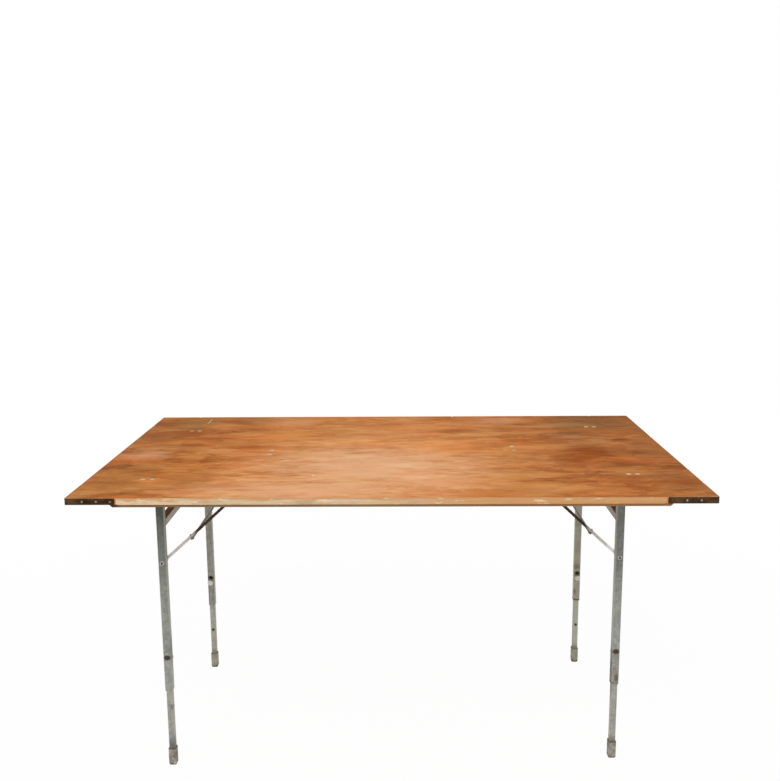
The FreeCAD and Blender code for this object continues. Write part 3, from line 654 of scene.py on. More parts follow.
def strip_wood(
        name, grain, plain, warm=None, warm_span=None, handled=HANDLED, edge_dirt=0.55, lap=0.0, stains=None):
    """Wood that turns warm over a span along X, with varnish over its upper edge where lap isn't 0."""
    finish = Finish(name, Specular_IOR_Level=0.2)
    place = here(finish)
    x, _, z = along(finish, place)
    broad = cloud(finish, place, [part * 0.4 for part in grain], detail=4.0)
    fine = cloud(finish, place, [part * 3.0 for part in grain], detail=2.0)
    grain_tone = broad * 0.7 + fine * 0.3
    handling = cloud(finish, place, HANDLING, detail=5.0, rough=0.6, shift=(5, 1, 2))
    grime = step(finish, handling, 0.50, 0.62)
    colour = ramp(finish, grain_tone, plain)
    greyed = grime * 0.45
    if warm_span:
        warmth = step(finish, x + (broad - 0.5) * 0.15, *warm_span)
        colour = blend(finish, warmth, colour, ramp(finish, grain_tone, warm))
        greyed = greyed * (1 - warmth * 0.7)
    colour = blend(finish, greyed, colour, handled)
    if lap:
        uneven = z + (handling - 0.5) * 0.028 + (broad - 0.5) * 0.012
        colour = lap_varnish(finish, place, colour, uneven, lap)
    # Painted shade: these dark spots shade the wood, as at the rail's left end.
    if stains:
        colour = blend(finish, spots(finish, place, stains, (fine - 0.5) * 0.6), colour, SHADE_DARK)
    arris = step(finish, z + (fine - 0.5) * 0.004, TOP_FACE - ARRIS_DEPTH, TOP_FACE)
    colour = blend(finish, arris * edge_dirt, colour, DIRT_LINE)
    return finish.dress(
        Base_Color=colour,
        Roughness=0.55 + grime * 0.2 + (fine - 0.5) * 0.1,
        Normal=relief(finish, fine + broad, 0.0003, 0.5),
    )


FRONT_STRIP = strip_wood(
    "front_strip_wood", GRAIN_ALONG_X, STRIP_WORN, STRIP_WARM, (-0.16, 0.28), edge_dirt=0.2, lap=0.8)
REAR_STRIP = strip_wood("rear_strip_wood", GRAIN_ALONG_X, STRIP_DARK, handled=HANDLED_DARK)
END_STRIP = strip_wood("end_strip_wood", GRAIN_ALONG_Y, STRIP_DARK, handled=HANDLED_DARK)
# Painted shade at the left end of the front rail.
RAIL_END_SHADE = [(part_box("front_rail")[0], (0.034, 0.040, 0.050), 0.9)]
RAIL_WOOD = strip_wood("rail_wood", GRAIN_ALONG_X, RAIL_BROWN, RAIL_WARM, (0.0, 0.45), stains=RAIL_END_SHADE)
print("strip finishes", [m.name for m in (FRONT_STRIP, REAR_STRIP, END_STRIP, RAIL_WOOD)])

# %% [markdown]
# ## Lacquered irons and soft rivets
# The corner irons are steel strap under a dark brown lacquer that has rubbed through in places. Their rivets
# are small and dulled by the same lacquer. The rivets in the top are a soft pale alloy, gone a little green.
# They were peened by hand, so a bump gives each head its own dents, which is enough at this size.

# %% Build the iron and rivet finishes
LACQUER = shade(66, 44, 24)
LACQUER_TONES = tones((0.3, 40, 24, 10), (0.55, 68, 45, 24), (0.8, 98, 70, 42))
RUBBED_STEEL = shade(122, 100, 78)
ALLOY_TONES = tones((0.3, 140, 122, 78), (0.5, 182, 164, 112), (0.7, 206, 196, 160))
DULLED_TONES = tones((0.3, 92, 74, 56), (0.5, 146, 126, 104), (0.7, 182, 164, 142))
RUBBING = (60.0, 60.0, 120.0)
LACQUER_BLOTCHES = (26.0, 26.0, 60.0)
DENTS = (420.0, 420.0, 420.0)
TARNISH = (60.0, 60.0, 60.0)
RIVET_INSET = 0.010
RIVET_DROP = 0.012
LACQUERED_REACH = (0.030, 0.030, 0.030)


def lacquered_iron():
    finish = Finish("corner_iron", Specular_IOR_Level=0.08)
    place = here(finish)
    rubbed = cloud(finish, place, RUBBING, detail=5.0, rough=0.65)
    bare = step(finish, rubbed, 0.62, 0.76)
    blotch = cloud(finish, place, LACQUER_BLOTCHES, detail=4.0, shift=(3, 3, 3))
    return finish.dress(
        Base_Color=blend(finish, bare * 0.5, ramp(finish, blotch, LACQUER_TONES), RUBBED_STEEL),
        Metallic=bare * 0.4,
        Roughness=0.50 + (rubbed - 0.5) * 0.4,
        Normal=relief(finish, rubbed - bare * 0.4, 0.0003, 0.6),
    )


def peened_alloy(name, stops, metal, lacquered=None):
    """Soft metal, under lacquer in the places that are listed as spots."""
    finish = Finish(name, Specular_IOR_Level=0.3)
    place = here(finish)
    dents = cloud(finish, place, DENTS, detail=3.0)
    tarnish = cloud(finish, place, TARNISH, detail=3.0, shift=(1, 4, 9))
    colour = ramp(finish, tarnish, stops)
    if lacquered:
        colour = blend(finish, spots(finish, place, lacquered), colour, LACQUER)
    return finish.dress(
        Base_Color=colour,
        Metallic=metal + (tarnish - 0.5) * 0.2,
        Roughness=0.45 + (dents - 0.5) * 0.3,
        Normal=relief(finish, dents, 0.0004, 0.6),
    )


CORNER_IRON = lacquered_iron()
RIVET_ALLOY = peened_alloy("rivet_alloy", ALLOY_TONES, 0.15)
INNER_RIVET = (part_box("corner_iron_front_right")[0].x + RIVET_INSET, cad_low.y, TOP_FACE - RIVET_DROP)
IRON_RIVET = peened_alloy("iron_rivet", DULLED_TONES, 0.20, [(INNER_RIVET, LACQUERED_REACH, 0.9)])
print("corner finishes", [m.name for m in (CORNER_IRON, RIVET_ALLOY, IRON_RIVET)])

# %% [markdown]
# ## Galvanised tube
# The leg tubes are dull zinc on steel, grey with a touch of green. Where the coat has gone the steel rusts,
# most of all near the open lower ends of the upper tubes. The front legs darken towards the hinges, partly
# with grease and partly with painted shade of the board, dirt from the floor sits above the feet, and each
# spare height hole has a dark rim of rust and painted shade. Every mark is a spot on one leg, most of them
# placed from a tube's end, a foot or a hole.

# %% Mark the rust, grime and grease
ROW_Y = {}
for node in nodes:
    if node.startswith("upper_leg_"):
        ROW_Y[node[len("upper_leg_"):]] = sum(corner.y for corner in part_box(node)) / 2
LEG_X = sum(corner.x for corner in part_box("upper_leg_front_right")) / 2
TUBE_END, TUBE_TOP = [corner.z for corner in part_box("upper_leg_front_left")]
NEAR = 0.03
SPARE_HOLE = 0.306


def leg_spot(leg, height, reach, strength, aside=0.0, width=NEAR):
    """A mark on one leg: its height and reach up and down, how far it sits aside in X, and its half width."""
    side = 1 if leg.endswith("right") else -1
    return ((side * LEG_X + aside, ROW_Y[leg], height), (width, NEAR, reach), strength)


UPPER_RUST = [
    leg_spot("front_right", TUBE_END + 0.004, 0.012, 0.80),
    leg_spot("front_right", TUBE_END + 0.019, 0.022, 1.30, 0.004, 0.013),
    leg_spot("front_right", TUBE_END + 0.046, 0.024, 0.65, -0.003, 0.012),
    leg_spot("front_right", TUBE_END + 0.080, 0.040, 0.60),
    leg_spot("front_right", TUBE_END + 0.040, 0.090, 0.50),
    leg_spot("front_left", TUBE_END + 0.004, 0.012, 0.35),
    leg_spot("rear_right", TUBE_END + 0.001, 0.009, 1.5),
    leg_spot("rear_right", TUBE_END + 0.030, 0.024, 0.8, -0.006, 0.008),
    leg_spot("rear_right", SPARE_HOLE + 0.022, 0.022, 0.7),
    leg_spot("rear_right", 0.475, 0.040, 0.70),
    leg_spot("rear_right", 0.400, 0.050, 0.45),
    leg_spot("rear_left", TUBE_END + 0.020, 0.025, 0.35),
    leg_spot("rear_left", 0.44, 0.040, 0.30),
]
FOOT_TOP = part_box("foot_front_left")[1].z
FOOT_GRIME = [
    leg_spot("front_left", FOOT_TOP + 0.014, 0.034, 1.0),
    leg_spot("front_left", FOOT_TOP + 0.118, 0.012, 1.1, 0.005, 0.009),
]
SIDE_GRIME = [leg_spot("front_right", 0.250, 0.110, 1.0), leg_spot("front_left", 0.330, 0.060, 0.7)]
# Painted shade, partly grease: the top of the front left leg, under the board, is darkest.
HINGE_GREASE_AND_SHADE = [leg_spot("front_left", TUBE_TOP, 0.120, 1.0)]
HOLE_RUST = [leg_spot(leg, SPARE_HOLE, 0.012, 1.6, width=0.012) for leg in ROW_Y]
# The dark hole rims are rust and painted shade, which widen the dark of each spare hole.
HOLE_RIMS_RUST_AND_SHADE = [leg_spot(leg, SPARE_HOLE, 0.0095, 1.0, width=0.0120) for leg in ROW_Y]
print("leg rows", {leg: round(y, 3) for leg, y in ROW_Y.items()}, "rust spots", len(UPPER_RUST))

# %% [markdown]
# Zinc freezes in crystals, which show as a faint mosaic, and weathers in long runs down the tube. A Voronoi
# texture gives the mosaic and noise stretched along Z the runs. A picture of zinc would do too, but it would
# repeat along the tube.

# %% Freeze and weather the zinc
ZINC_GREY = tones((0.15, 118, 120, 113), (0.5, 148, 150, 142), (0.85, 172, 173, 164))
ZINC_PALE = tones((0.15, 138, 138, 128), (0.5, 161, 160, 151), (0.85, 184, 183, 174))
ZINC_PINK = tones((0.15, 92, 78, 68), (0.5, 130, 114, 102), (0.85, 164, 152, 140))
CRYSTALS = 130.0
RUNS = (110.0, 110.0, 5.0)
WEATHER = (9.0, 9.0, 9.0)
GRIT = (260.0, 260.0, 180.0)


def bare_zinc(finish, place, light):
    """The coat's colour from a ramp of tones, and four noises: its crystals, runs, weather and grit."""
    sockets = {"Vector": place, "Scale": CRYSTALS, "Randomness": 1.0}
    crystal = along(finish, finish.node("ShaderNodeTexVoronoi", {}, sockets, output="Color"))[0]
    runs = cloud(finish, place, RUNS, detail=4.0)
    weather = cloud(finish, place, WEATHER, detail=4.0, shift=(4, 4, 1))
    grit = cloud(finish, place, GRIT, detail=3.0, shift=(9, 2, 5))
    tone = 0.5 + (crystal - 0.5) * 0.32 + (runs - 0.5) * 0.9 + (weather - 0.5) * 0.6
    return ramp(finish, tone, light), crystal, runs, weather, grit


print("zinc crystals about", round(1000 / CRYSTALS, 1), "mm across")

# %% [markdown]
# The finish of a tube is that coat with its marks over it. Rust could be a flat colour inside its spots. Here
# it is a fine noise that only breaks through inside them, so its edge is as broken as on real steel. The
# sides of the tubes get a paler olive, which is painted light, and the rear legs are more olive, so the
# direction of a surface and its place count too.

# %% Build the zinc finishes
RUST = tones((0.25, 56, 47, 33), (0.5, 96, 84, 64), (0.8, 142, 128, 102))
# The pale side olive is painted light on the side faces of the tubes.
LIT_SIDE_OLIVE = shade(182, 182, 166)
REAR_OLIVE = shade(170, 168, 144)
REAR_PALE = shade(186, 188, 168)
# The top rust tone is also painted shade of the board on the crossbar tops.
TOP_RUST_AND_SHADE = shade(86, 42, 26)
RUST_STAIN = shade(124, 112, 90)
FLOOR_DIRT = shade(84, 76, 62)
# The grease tones also paint the shade of the board on the front legs, the black one at the hinge.
GREASE_AND_SHADE = shade(79, 87, 82)
BLACK_GREASE_AND_SHADE = shade(34, 34, 30)
RIM_RUST_AND_SHADE = shade(44, 30, 22)


def zinc(name, light, rust_marks=None, everywhere=0.0, grime_span=None, grease_and_shade_span=None,
         top_rust_and_shade=0.0, rear=REAR_OLIVE, rear_left=0.08):
    """Weathered zinc. The two spans are the heights over which floor dirt ends and hinge grease with painted
    shade of the board begins.
    """
    finish = Finish(name, Specular_IOR_Level=0.3)
    place = here(finish)
    x, y, z = along(finish, place)
    colour, crystal, runs, weather, grit = bare_zinc(finish, place, light)
    sideways, _, upward = facing(finish)
    on_side = step(finish, abs(sideways), 0.4, 0.8)
    rear_row = step(finish, y, -0.05, 0.05)
    on_right = step(finish, x, -0.1, 0.1)
    colour = coats(
        finish, colour,
        (rear_row * (rear_left + (0.70 - rear_left) * on_right), rear),
        # Painted light: the side faces of the tubes are paler.
        (on_side * 0.75, LIT_SIDE_OLIVE),
        (on_side * spots(finish, place, SIDE_GRIME) * 0.8, GREASE_AND_SHADE),
        # Rust and painted shade: faces that look up lie darker under the board.
        (step(finish, upward, 0.5, 0.8) * top_rust_and_shade, TOP_RUST_AND_SHADE),
    )

    patch = everywhere
    if rust_marks:
        patch = spots(finish, place, rust_marks, (grit - 0.5) * 0.9, inner=0.1) + everywhere
    breaking = weather * 0.30 + grit * 0.50 + runs * 0.2 + patch * 0.30
    rust = step(finish, breaking, 0.66, 0.80)
    stain = step(finish, breaking, 0.57, 0.74)
    colour = coats(finish, colour, (stain * 0.35, RUST_STAIN), (rust * 0.75, ramp(finish, grit, RUST)))

    if grime_span:
        grime = 1 - step(finish, z + (grit - 0.5) * 0.02, *grime_span)
        splashed = spots(finish, place, FOOT_GRIME, (grit - 0.5) * 0.8, inner=0.1)
        colour = coats(finish, colour, (grime * 0.55, FLOOR_DIRT), (splashed * 0.7, GREASE_AND_SHADE))
    # Painted shade, partly grease: the front faces of the front legs darken towards the board above them.
    if grease_and_shade_span:
        face = (1 - rear_row) * (1 - on_side * 0.55)
        crept_and_shaded = step(finish, z + (runs - 0.5) * 0.08, *grease_and_shade_span) * face
        smeared_and_shaded = spots(finish, place, HINGE_GREASE_AND_SHADE, (grit - 0.5) * 0.7, inner=0.1) * face
        colour = coats(
            finish, colour,
            (crept_and_shaded * (0.78 - 0.22 * on_right), GREASE_AND_SHADE),
            # Painted shade and rust round each spare hole.
            (spots(finish, place, HOLE_RIMS_RUST_AND_SHADE, inner=0.6) * 0.9, RIM_RUST_AND_SHADE),
            (smeared_and_shaded * 0.9, BLACK_GREASE_AND_SHADE),
        )
    return finish.dress(
        Base_Color=colour,
        Metallic=0.25 - rust * 0.2,
        Roughness=0.52 + (runs - 0.5) * 0.25 + rust * 0.3,
        Normal=relief(finish, grit * 0.6 + crystal * 0.15 + rust * 0.8, 0.0003, 0.5),
    )


GREASE_AND_SHADE_SPAN = (TUBE_END + 0.02, TUBE_TOP + 0.04)
GRIME_SPAN = (FOOT_TOP + 0.002, FOOT_TOP + 0.022)
UPPER_ZINC = zinc("upper_leg_zinc", ZINC_GREY, UPPER_RUST, 0.10, grease_and_shade_span=GREASE_AND_SHADE_SPAN)
LOWER_ZINC = zinc("lower_leg_zinc", ZINC_PALE, HOLE_RUST, 0.12, GRIME_SPAN, rear=REAR_PALE, rear_left=0.30)
# The crossbar tops are dark with rust and with painted shade of the board above.
CROSSBAR_ZINC = zinc("crossbar_zinc", ZINC_PINK, everywhere=0.40, top_rust_and_shade=0.85)
BRACKET_ZINC = zinc("bracket_zinc", ZINC_GREY, everywhere=0.25)
print("zinc finishes", [m.name for m in (UPPER_ZINC, LOWER_ZINC, CROSSBAR_ZINC, BRACKET_ZINC)])

# %% [markdown]
# ## Stays
# The stays are bright drawn bar near the bolts and brown further up, partly rust where hands never rub them
# and partly painted shade of the board above. Two materials would meet in a hard seam. One finish measures
# how far each point is from the leg instead, and turns from bright to brown over about a centimetre.

# %% Build the stay finish
STAY_BRIGHT = tones((0.2, 204, 212, 215), (0.5, 230, 238, 241), (0.8, 242, 249, 252))
# The brown tones are rust and painted shade of the board.
STAY_RUST_AND_SHADE = tones((0.2, 46, 38, 24), (0.5, 74, 64, 46), (0.8, 112, 100, 78))
STAY_EYE = shade(194, 194, 188)
STAY_EYE_LIT = shade(236, 236, 232)
STAY_PIT = shade(96, 84, 68)
DRAWN = (220.0, 220.0, 220.0)
STAY_BLOTCHES = (26.0, 26.0, 26.0)
EYE_FROM = 0.014
EYE_REACH = 0.042
BROWN_FROM = 0.061
BROWN_FULL = 0.074


def drawn_bar():
    finish = Finish("stay_steel", Specular_IOR_Level=0.35)
    place = here(finish)
    x = along(finish, place)[0]
    drawn = cloud(finish, place, DRAWN, detail=4.0)
    blotch = cloud(finish, place, STAY_BLOTCHES, detail=4.0, shift=(2, 2, 2))
    inward = LEG_X - abs(x) + (blotch - 0.5) * 0.010
    # The brown of the upper stays is rust and painted shade of the board above them.
    brown = step(finish, inward, BROWN_FROM, BROWN_FULL)
    tone = drawn * 0.5 + blotch * 0.5
    pits = step(finish, drawn, 0.62, 0.74)
    colour = coats(
        finish, STAY_EYE,
        # Painted light: the stays on the right are lighter near their eyes.
        (step(finish, x, -0.1, 0.1), STAY_EYE_LIT),
        (step(finish, inward, EYE_FROM, EYE_REACH), ramp(finish, tone, STAY_BRIGHT)),
        (brown, ramp(finish, tone, STAY_RUST_AND_SHADE)),
        (pits * 0.2, STAY_PIT),
    )
    return finish.dress(
        Base_Color=colour,
        Metallic=0.35 - brown * 0.3,
        Roughness=0.42 + brown * 0.25 + (drawn - 0.5) * 0.2,
        Normal=relief(finish, drawn - pits, 0.0003, 0.6),
    )


STAY_STEEL = drawn_bar()
print("stays turn brown", round(1000 * BROWN_FROM), "to", round(1000 * BROWN_FULL), "mm from a leg's middle")

# %% [markdown]
# ## Bolts, spreaders and knobs
# Bolts and pins are plain steel with dark dirt in their low spots, and the hollow in each bolt's head is
# darkest, with painted shade. The knobs are nickelled and worn pale. They differ only in tone, shine and
# dirt, so one function makes them all.

# %% Build the steel finishes
SPREADER_TONES = tones((0.3, 92, 86, 74), (0.6, 134, 129, 116), (0.8, 164, 158, 144))
BOLT_TONES = tones((0.3, 138, 136, 128), (0.6, 190, 189, 181), (0.8, 224, 222, 216))
NICKEL_TONES = tones((0.3, 200, 201, 188), (0.6, 232, 232, 222), (0.8, 246, 246, 240))
STEEL_DIRT = shade(42, 34, 26)
SCRATCHES = (300.0, 300.0, 300.0)
LOW_SPOTS = (140.0, 140.0, 140.0)
DIRT_FULL = 0.75
BOLT_HEIGHT = sum(corner.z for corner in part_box("left_stay_bolts")) / 2
# Painted shade: a dark spot in the hollow of each bolt head.
HOLLOW_SHADE = [leg_spot(leg, BOLT_HEIGHT, 0.0046, 1.0, width=0.0034) for leg in ROW_Y]


def plain_steel(name, stops, metal, rough, dirt_from, hollow_shade=None):
    """Steel with dirt in its low spots, and painted shade in each hollow that is listed as a spot."""
    finish = Finish(name, Specular_IOR_Level=0.4)
    place = here(finish)
    scratch = cloud(finish, place, SCRATCHES, detail=4.0)
    lows = cloud(finish, place, LOW_SPOTS, detail=4.0, shift=(6, 6, 6))
    dirt = step(finish, lows, dirt_from, DIRT_FULL)
    # Painted shade in the hollows, on top of the dirt.
    if hollow_shade:
        dirt = dirt.maths("MAXIMUM", dirt, spots(finish, place, hollow_shade, inner=0.7) * 1.2)
    return finish.dress(
        Base_Color=blend(finish, dirt * 0.8, ramp(finish, scratch, stops), STEEL_DIRT),
        Metallic=metal - dirt * metal * 0.8,
        Roughness=rough + dirt * 0.3 + (scratch - 0.5) * 0.2,
        Normal=relief(finish, scratch - dirt * 0.5, 0.0002, 0.5),
    )


SPREADER_STEEL = plain_steel("spreader_steel", SPREADER_TONES, 0.2, 0.5, 0.64)
BOLT_STEEL = plain_steel("bolt_steel", BOLT_TONES, 0.3, 0.45, 0.54, HOLLOW_SHADE)
KNOB_NICKEL = plain_steel("knob_nickel", NICKEL_TONES, 0.10, 0.42, 0.62)
print("steel finishes", [m.name for m in (SPREADER_STEEL, BOLT_STEEL, KNOB_NICKEL)])

# %% [markdown]
# ## Feet
# The feet are grey moulded caps with brown, scuffed soles and a dark line round the top of the rim. Sole
# and rim follow from the height alone, so nothing has to be painted. A noise added to the height makes both
# of their lines uneven.

# %% Build the foot finish
CAP_TONES = tones((0.28, 74, 70, 58), (0.5, 144, 140, 127), (0.72, 190, 187, 174))
SOLE_TONES = tones((0.3, 58, 44, 30), (0.6, 92, 72, 54), (0.8, 122, 102, 80))
FOOT_PALE = shade(178, 184, 156)
RIM_DARK = shade(62, 60, 50)
SCUFF_GREY = shade(190, 186, 172)
MOTTLE = (85.0, 85.0, 55.0)
FOOT_SCUFFS = (320.0, 320.0, 60.0)
SOLE_TOP = 0.0065
SOLE_BLUR = 0.002
RIM_DEPTH = 0.0030


def capped_foot():
    finish = Finish("foot_cap", Specular_IOR_Level=0.25)
    place = here(finish)
    _, y, z = along(finish, place)
    mottle = cloud(finish, place, MOTTLE, detail=5.0, rough=0.65)
    scuff = cloud(finish, place, FOOT_SCUFFS, detail=3.0, shift=(3, 7, 1))
    low = 1 - step(finish, z + (mottle - 0.5) * 0.016, SOLE_TOP - SOLE_BLUR, SOLE_TOP + SOLE_BLUR)
    rim = step(finish, z + (mottle - 0.5) * 0.006, FOOT_TOP - RIM_DEPTH, FOOT_TOP - RIM_DEPTH * 0.4)
    behind = step(finish, y, -0.05, 0.05)
    colour = coats(
        finish, ramp(finish, mottle, CAP_TONES),
        (behind * 0.40, FOOT_PALE),
        (low * 0.8, ramp(finish, mottle, SOLE_TONES)),
        (rim * (0.60 - 0.30 * behind), RIM_DARK),
        (step(finish, scuff, 0.62, 0.76) * 0.4, SCUFF_GREY),
    )
    return finish.dress(
        Base_Color=colour,
        Roughness=0.62 + (mottle - 0.5) * 0.25,
        Normal=relief(finish, mottle + scuff * 0.4, 0.0005, 0.5),
    )


FOOT_CAP = capped_foot()
print("foot caps end", round(1000 * FOOT_TOP, 1), "mm above the floor")

# %% [markdown]
# ## Give every solid its finish
# Each node's mesh carries one material slot from the packed file. The finish goes into that slot, chosen by
# the start or the end of the node's name. A name that fits nothing stops the script, so no grey is left.

# %% Dress the solids
FINISH_BY_START = {
    "tabletop_panel": PLYWOOD,
    "front_lipping": FRONT_STRIP,
    "rear_lipping": REAR_STRIP,
    "left_lipping": END_STRIP,
    "right_lipping": END_STRIP,
    "front_rail": RAIL_WOOD,
    "rear_rail": RAIL_WOOD,
    "corner_iron_rivets": IRON_RIVET,
    "corner_iron": CORNER_IRON,
    "rail_screws": BOLT_STEEL,
    "leg_bracket_rivets": RIVET_ALLOY,
    "stay_keeper_rivets": RIVET_ALLOY,
    "leg_bracket": BRACKET_ZINC,
    "leg_pivot_pins": BOLT_STEEL,
    "upper_leg": UPPER_ZINC,
    "lower_leg": LOWER_ZINC,
    "foot": FOOT_CAP,
    "clamp_screw": KNOB_NICKEL,
    "stay_bar": STAY_STEEL,
}
FINISH_BY_END = {
    "_stay_keeper": BRACKET_ZINC,
    "_crossbar": CROSSBAR_ZINC,
    "_screw_bosses": UPPER_ZINC,
    "_stay_bolts": BOLT_STEEL,
    "_stay_nuts": BOLT_STEEL,
    "_spreader": SPREADER_STEEL,
    "_spreader_rivets": SPREADER_STEEL,
    "_stay_pin": BOLT_STEEL,
}


def finish_for(node):
    for start, finish in FINISH_BY_START.items():
        if node.startswith(start):
            return finish
    for end, finish in FINISH_BY_END.items():
        if node.endswith(end):
            return finish
    raise ValueError("no finish for " + node)


for node, solid in nodes.items():
    solid.data.materials.clear()
    solid.data.materials.append(finish_for(node))
print("dressed", len(nodes), "nodes")

# %% [markdown]
# ## Turned pieces
# Knobs, bolts and rivets are turned or peened round an axis. Blender's Spin tool or a Screw modifier could
# sweep them. A short function does it from a profile of radius and distance, and can also press ridges into
# the rim, which Spin can't.

# %% A lathe for small parts
def turned(mesh, profile, foot, axis, segments=32, ridges=0, ridge_depth=0.0, ridged_from=1.0):
    """Adds a closed turned form. The profile goes from radius 0 at one end to radius 0 at the other."""
    axis = Vector(axis).normalized()
    side = axis.orthogonal().normalized()
    across = axis.cross(side)
    rings = []
    for radius, distance in profile:
        centre = Vector(foot) + axis * distance
        if radius == 0:
            rings.append([mesh.verts.new(centre)])
            continue
        ring = []
        for number in range(segments):
            angle = 2 * math.pi * number / segments
            dip = 0.0
            if radius >= ridged_from:
                dip = ridge_depth * (1 - math.cos(ridges * angle)) / 2
            ring.append(mesh.verts.new(
                centre + (side * math.cos(angle) + across * math.sin(angle)) * (radius - dip)))
        rings.append(ring)
    for lower, upper in zip(rings, rings[1:]):
        for number in range(segments):
            following = (number + 1) % segments
            if len(lower) == 1:
                mesh.faces.new((lower[0], upper[following], upper[number]))
            elif len(upper) == 1:
                mesh.faces.new((lower[number], lower[following], upper[0]))
            else:
                mesh.faces.new((lower[number], lower[following], upper[following], upper[number]))


def crown(radius, height, base, steps=6):
    """The profile of a domed head, from its rim to its middle."""
    arcs = [math.pi / 2 * number / steps for number in range(steps)]
    return [(radius * math.cos(a), base + height * math.sin(a)) for a in arcs] + [(0, base + height)]


def start_of(low, high, way):
    """The middle of the end where a pin starts, when it points this way along Y."""
    return Vector(((low.x + high.x) / 2, low.y if way > 0 else high.y, (low.z + high.z) / 2))


print("a crown has", len(crown(1.0, 1.0, 0.0)), "rings")

# %% [markdown]
# A finished mesh becomes an object that rides on its body, so it moves with the joints, and it can stand for
# a plain solid. Faces that meet at a blunt angle are shaded smooth, and sharper edges stay crisp.

# %% Hand a piece over
SHARP_FROM = math.radians(35)


def hand_over(mesh, name, body, finish, replaced=None):
    """Makes the piece from its mesh, and ties it to its body, slot and solid."""
    bmesh.ops.recalc_face_normals(mesh, faces=mesh.faces)
    data = bpy.data.meshes.new(name)
    mesh.to_mesh(data)
    mesh.free()
    data.shade_smooth()
    data.set_sharp_from_angle(angle=SHARP_FROM)
    data.materials.append(finish)
    piece = bpy.data.objects.new(name, data)
    bpy.context.scene.collection.objects.link(piece)
    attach(piece, body)
    if replaced:
        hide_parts(replaced)
    print(name, "on", body, "faces", len(data.polygons))
    return piece


print("edges stay crisp from", round(math.degrees(SHARP_FROM)), "degrees")

# %% [markdown]
# Some nodes hold several solids, such as all rivets. Blender's Separate by Loose Parts would make objects of
# them, but only their boxes are needed. Walking along the edges from one corner finds the corners of one
# solid, and what is left belongs to the others.

# %% Find the solids of a node
SAME_POINT = 1e-5


def solids_of(node):
    """The lowest and highest corners of each separate solid in a node."""
    shape = bmesh.new()
    shape.from_mesh(nodes[node].data)
    bmesh.ops.remove_doubles(shape, verts=shape.verts, dist=SAME_POINT)
    waiting = set(shape.verts)
    boxes = []
    while waiting:
        reached = [waiting.pop()]
        for vert in reached:
            for link in vert.link_edges:
                other = link.other_vert(vert)
                if other in waiting:
                    waiting.remove(other)
                    reached.append(other)
        low = Vector([min(vert.co[axis] for vert in reached) for axis in range(3)])
        high = Vector([max(vert.co[axis] for vert in reached) for axis in range(3)])
        boxes.append((low, high))
    shape.free()
    return sorted(boxes, key=lambda box: tuple(box[0]))


print("iron rivets found", len(solids_of("corner_iron_rivets")))

# %% [markdown]
# ## Thumb screws
# A thumb screw in each leg clamps the lower tube. Its knob is knurled so that fingers grip it, and its face
# has a shallow dimple. The solid is a smooth round knob in the same place, and this piece stands for it. A
# bump could fake the knurls, but they would be missing from the outline.

# %% Turn the knurled knobs
SHANK_RADIUS = 0.003
SHANK_BEVEL = 0.0006
KNOB_LENGTH = 0.006
KNOB_BEVEL = 0.0011
KNURLS = 28
SEGMENTS_PER_KNURL = 4
KNURL_DEPTH = 0.0007
DIMPLE_RADIUS = 0.0035
DIMPLE_DEPTH = 0.0014
DIMPLE_SLOPE = 0.0008


def knurled_knob(mesh, low, high, way):
    radius = (high.x - low.x) / 2
    length = high.y - low.y
    back = length - KNOB_LENGTH
    profile = [
        (0, 0),
        (SHANK_RADIUS - SHANK_BEVEL, 0),
        (SHANK_RADIUS, SHANK_BEVEL),
        (SHANK_RADIUS, back),
        (radius - KNOB_BEVEL, back),
        (radius, back + KNOB_BEVEL),
        (radius, length - KNOB_BEVEL),
        (radius - KNOB_BEVEL, length),
        (DIMPLE_RADIUS + DIMPLE_SLOPE, length),
        (DIMPLE_RADIUS, length - DIMPLE_SLOPE),
        (DIMPLE_RADIUS - DIMPLE_SLOPE, length - DIMPLE_DEPTH),
        (0, length - DIMPLE_DEPTH),
    ]
    ridged_from = radius - KNOB_BEVEL / 2
    segments = KNURLS * SEGMENTS_PER_KNURL
    turned(mesh, profile, start_of(low, high, way), (0, way, 0), segments, KNURLS, KNURL_DEPTH, ridged_from)


for leg in ROW_Y:
    low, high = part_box("clamp_screw_" + leg)
    knob_mesh = bmesh.new()
    knurled_knob(knob_mesh, low, high, 1 if leg.startswith("front") else -1)
    hand_over(
        knob_mesh, "knurled_knob_" + leg, leg + "_clamp", KNOB_NICKEL, "clamp_screw_" + leg)

# %% [markdown]
# ## Stay bolts
# The stays turn on bolts with round heads on the outer faces of the legs. In each head there is a hollow, as
# a tubular rivet has, which shows as a dark dot in a pale ring. A boolean cut could make it. In a turned
# piece it is only a few more points of the profile.

# %% Turn the hollow-headed bolts
HEAD_HEIGHT = 0.003
BOLT_RADIUS = 0.003
HOLLOW_RADIUS = 0.0024
HOLLOW_DEPTH = 0.0022
HEAD_LIP = 0.0009
SHOULDER_SHARE = 0.86
SHOULDER_DROP = 0.00063
FACE_SHARE = 0.58
HOLLOW_LIP = 0.00036
HOLLOW_FLOOR_RADIUS = 0.00192

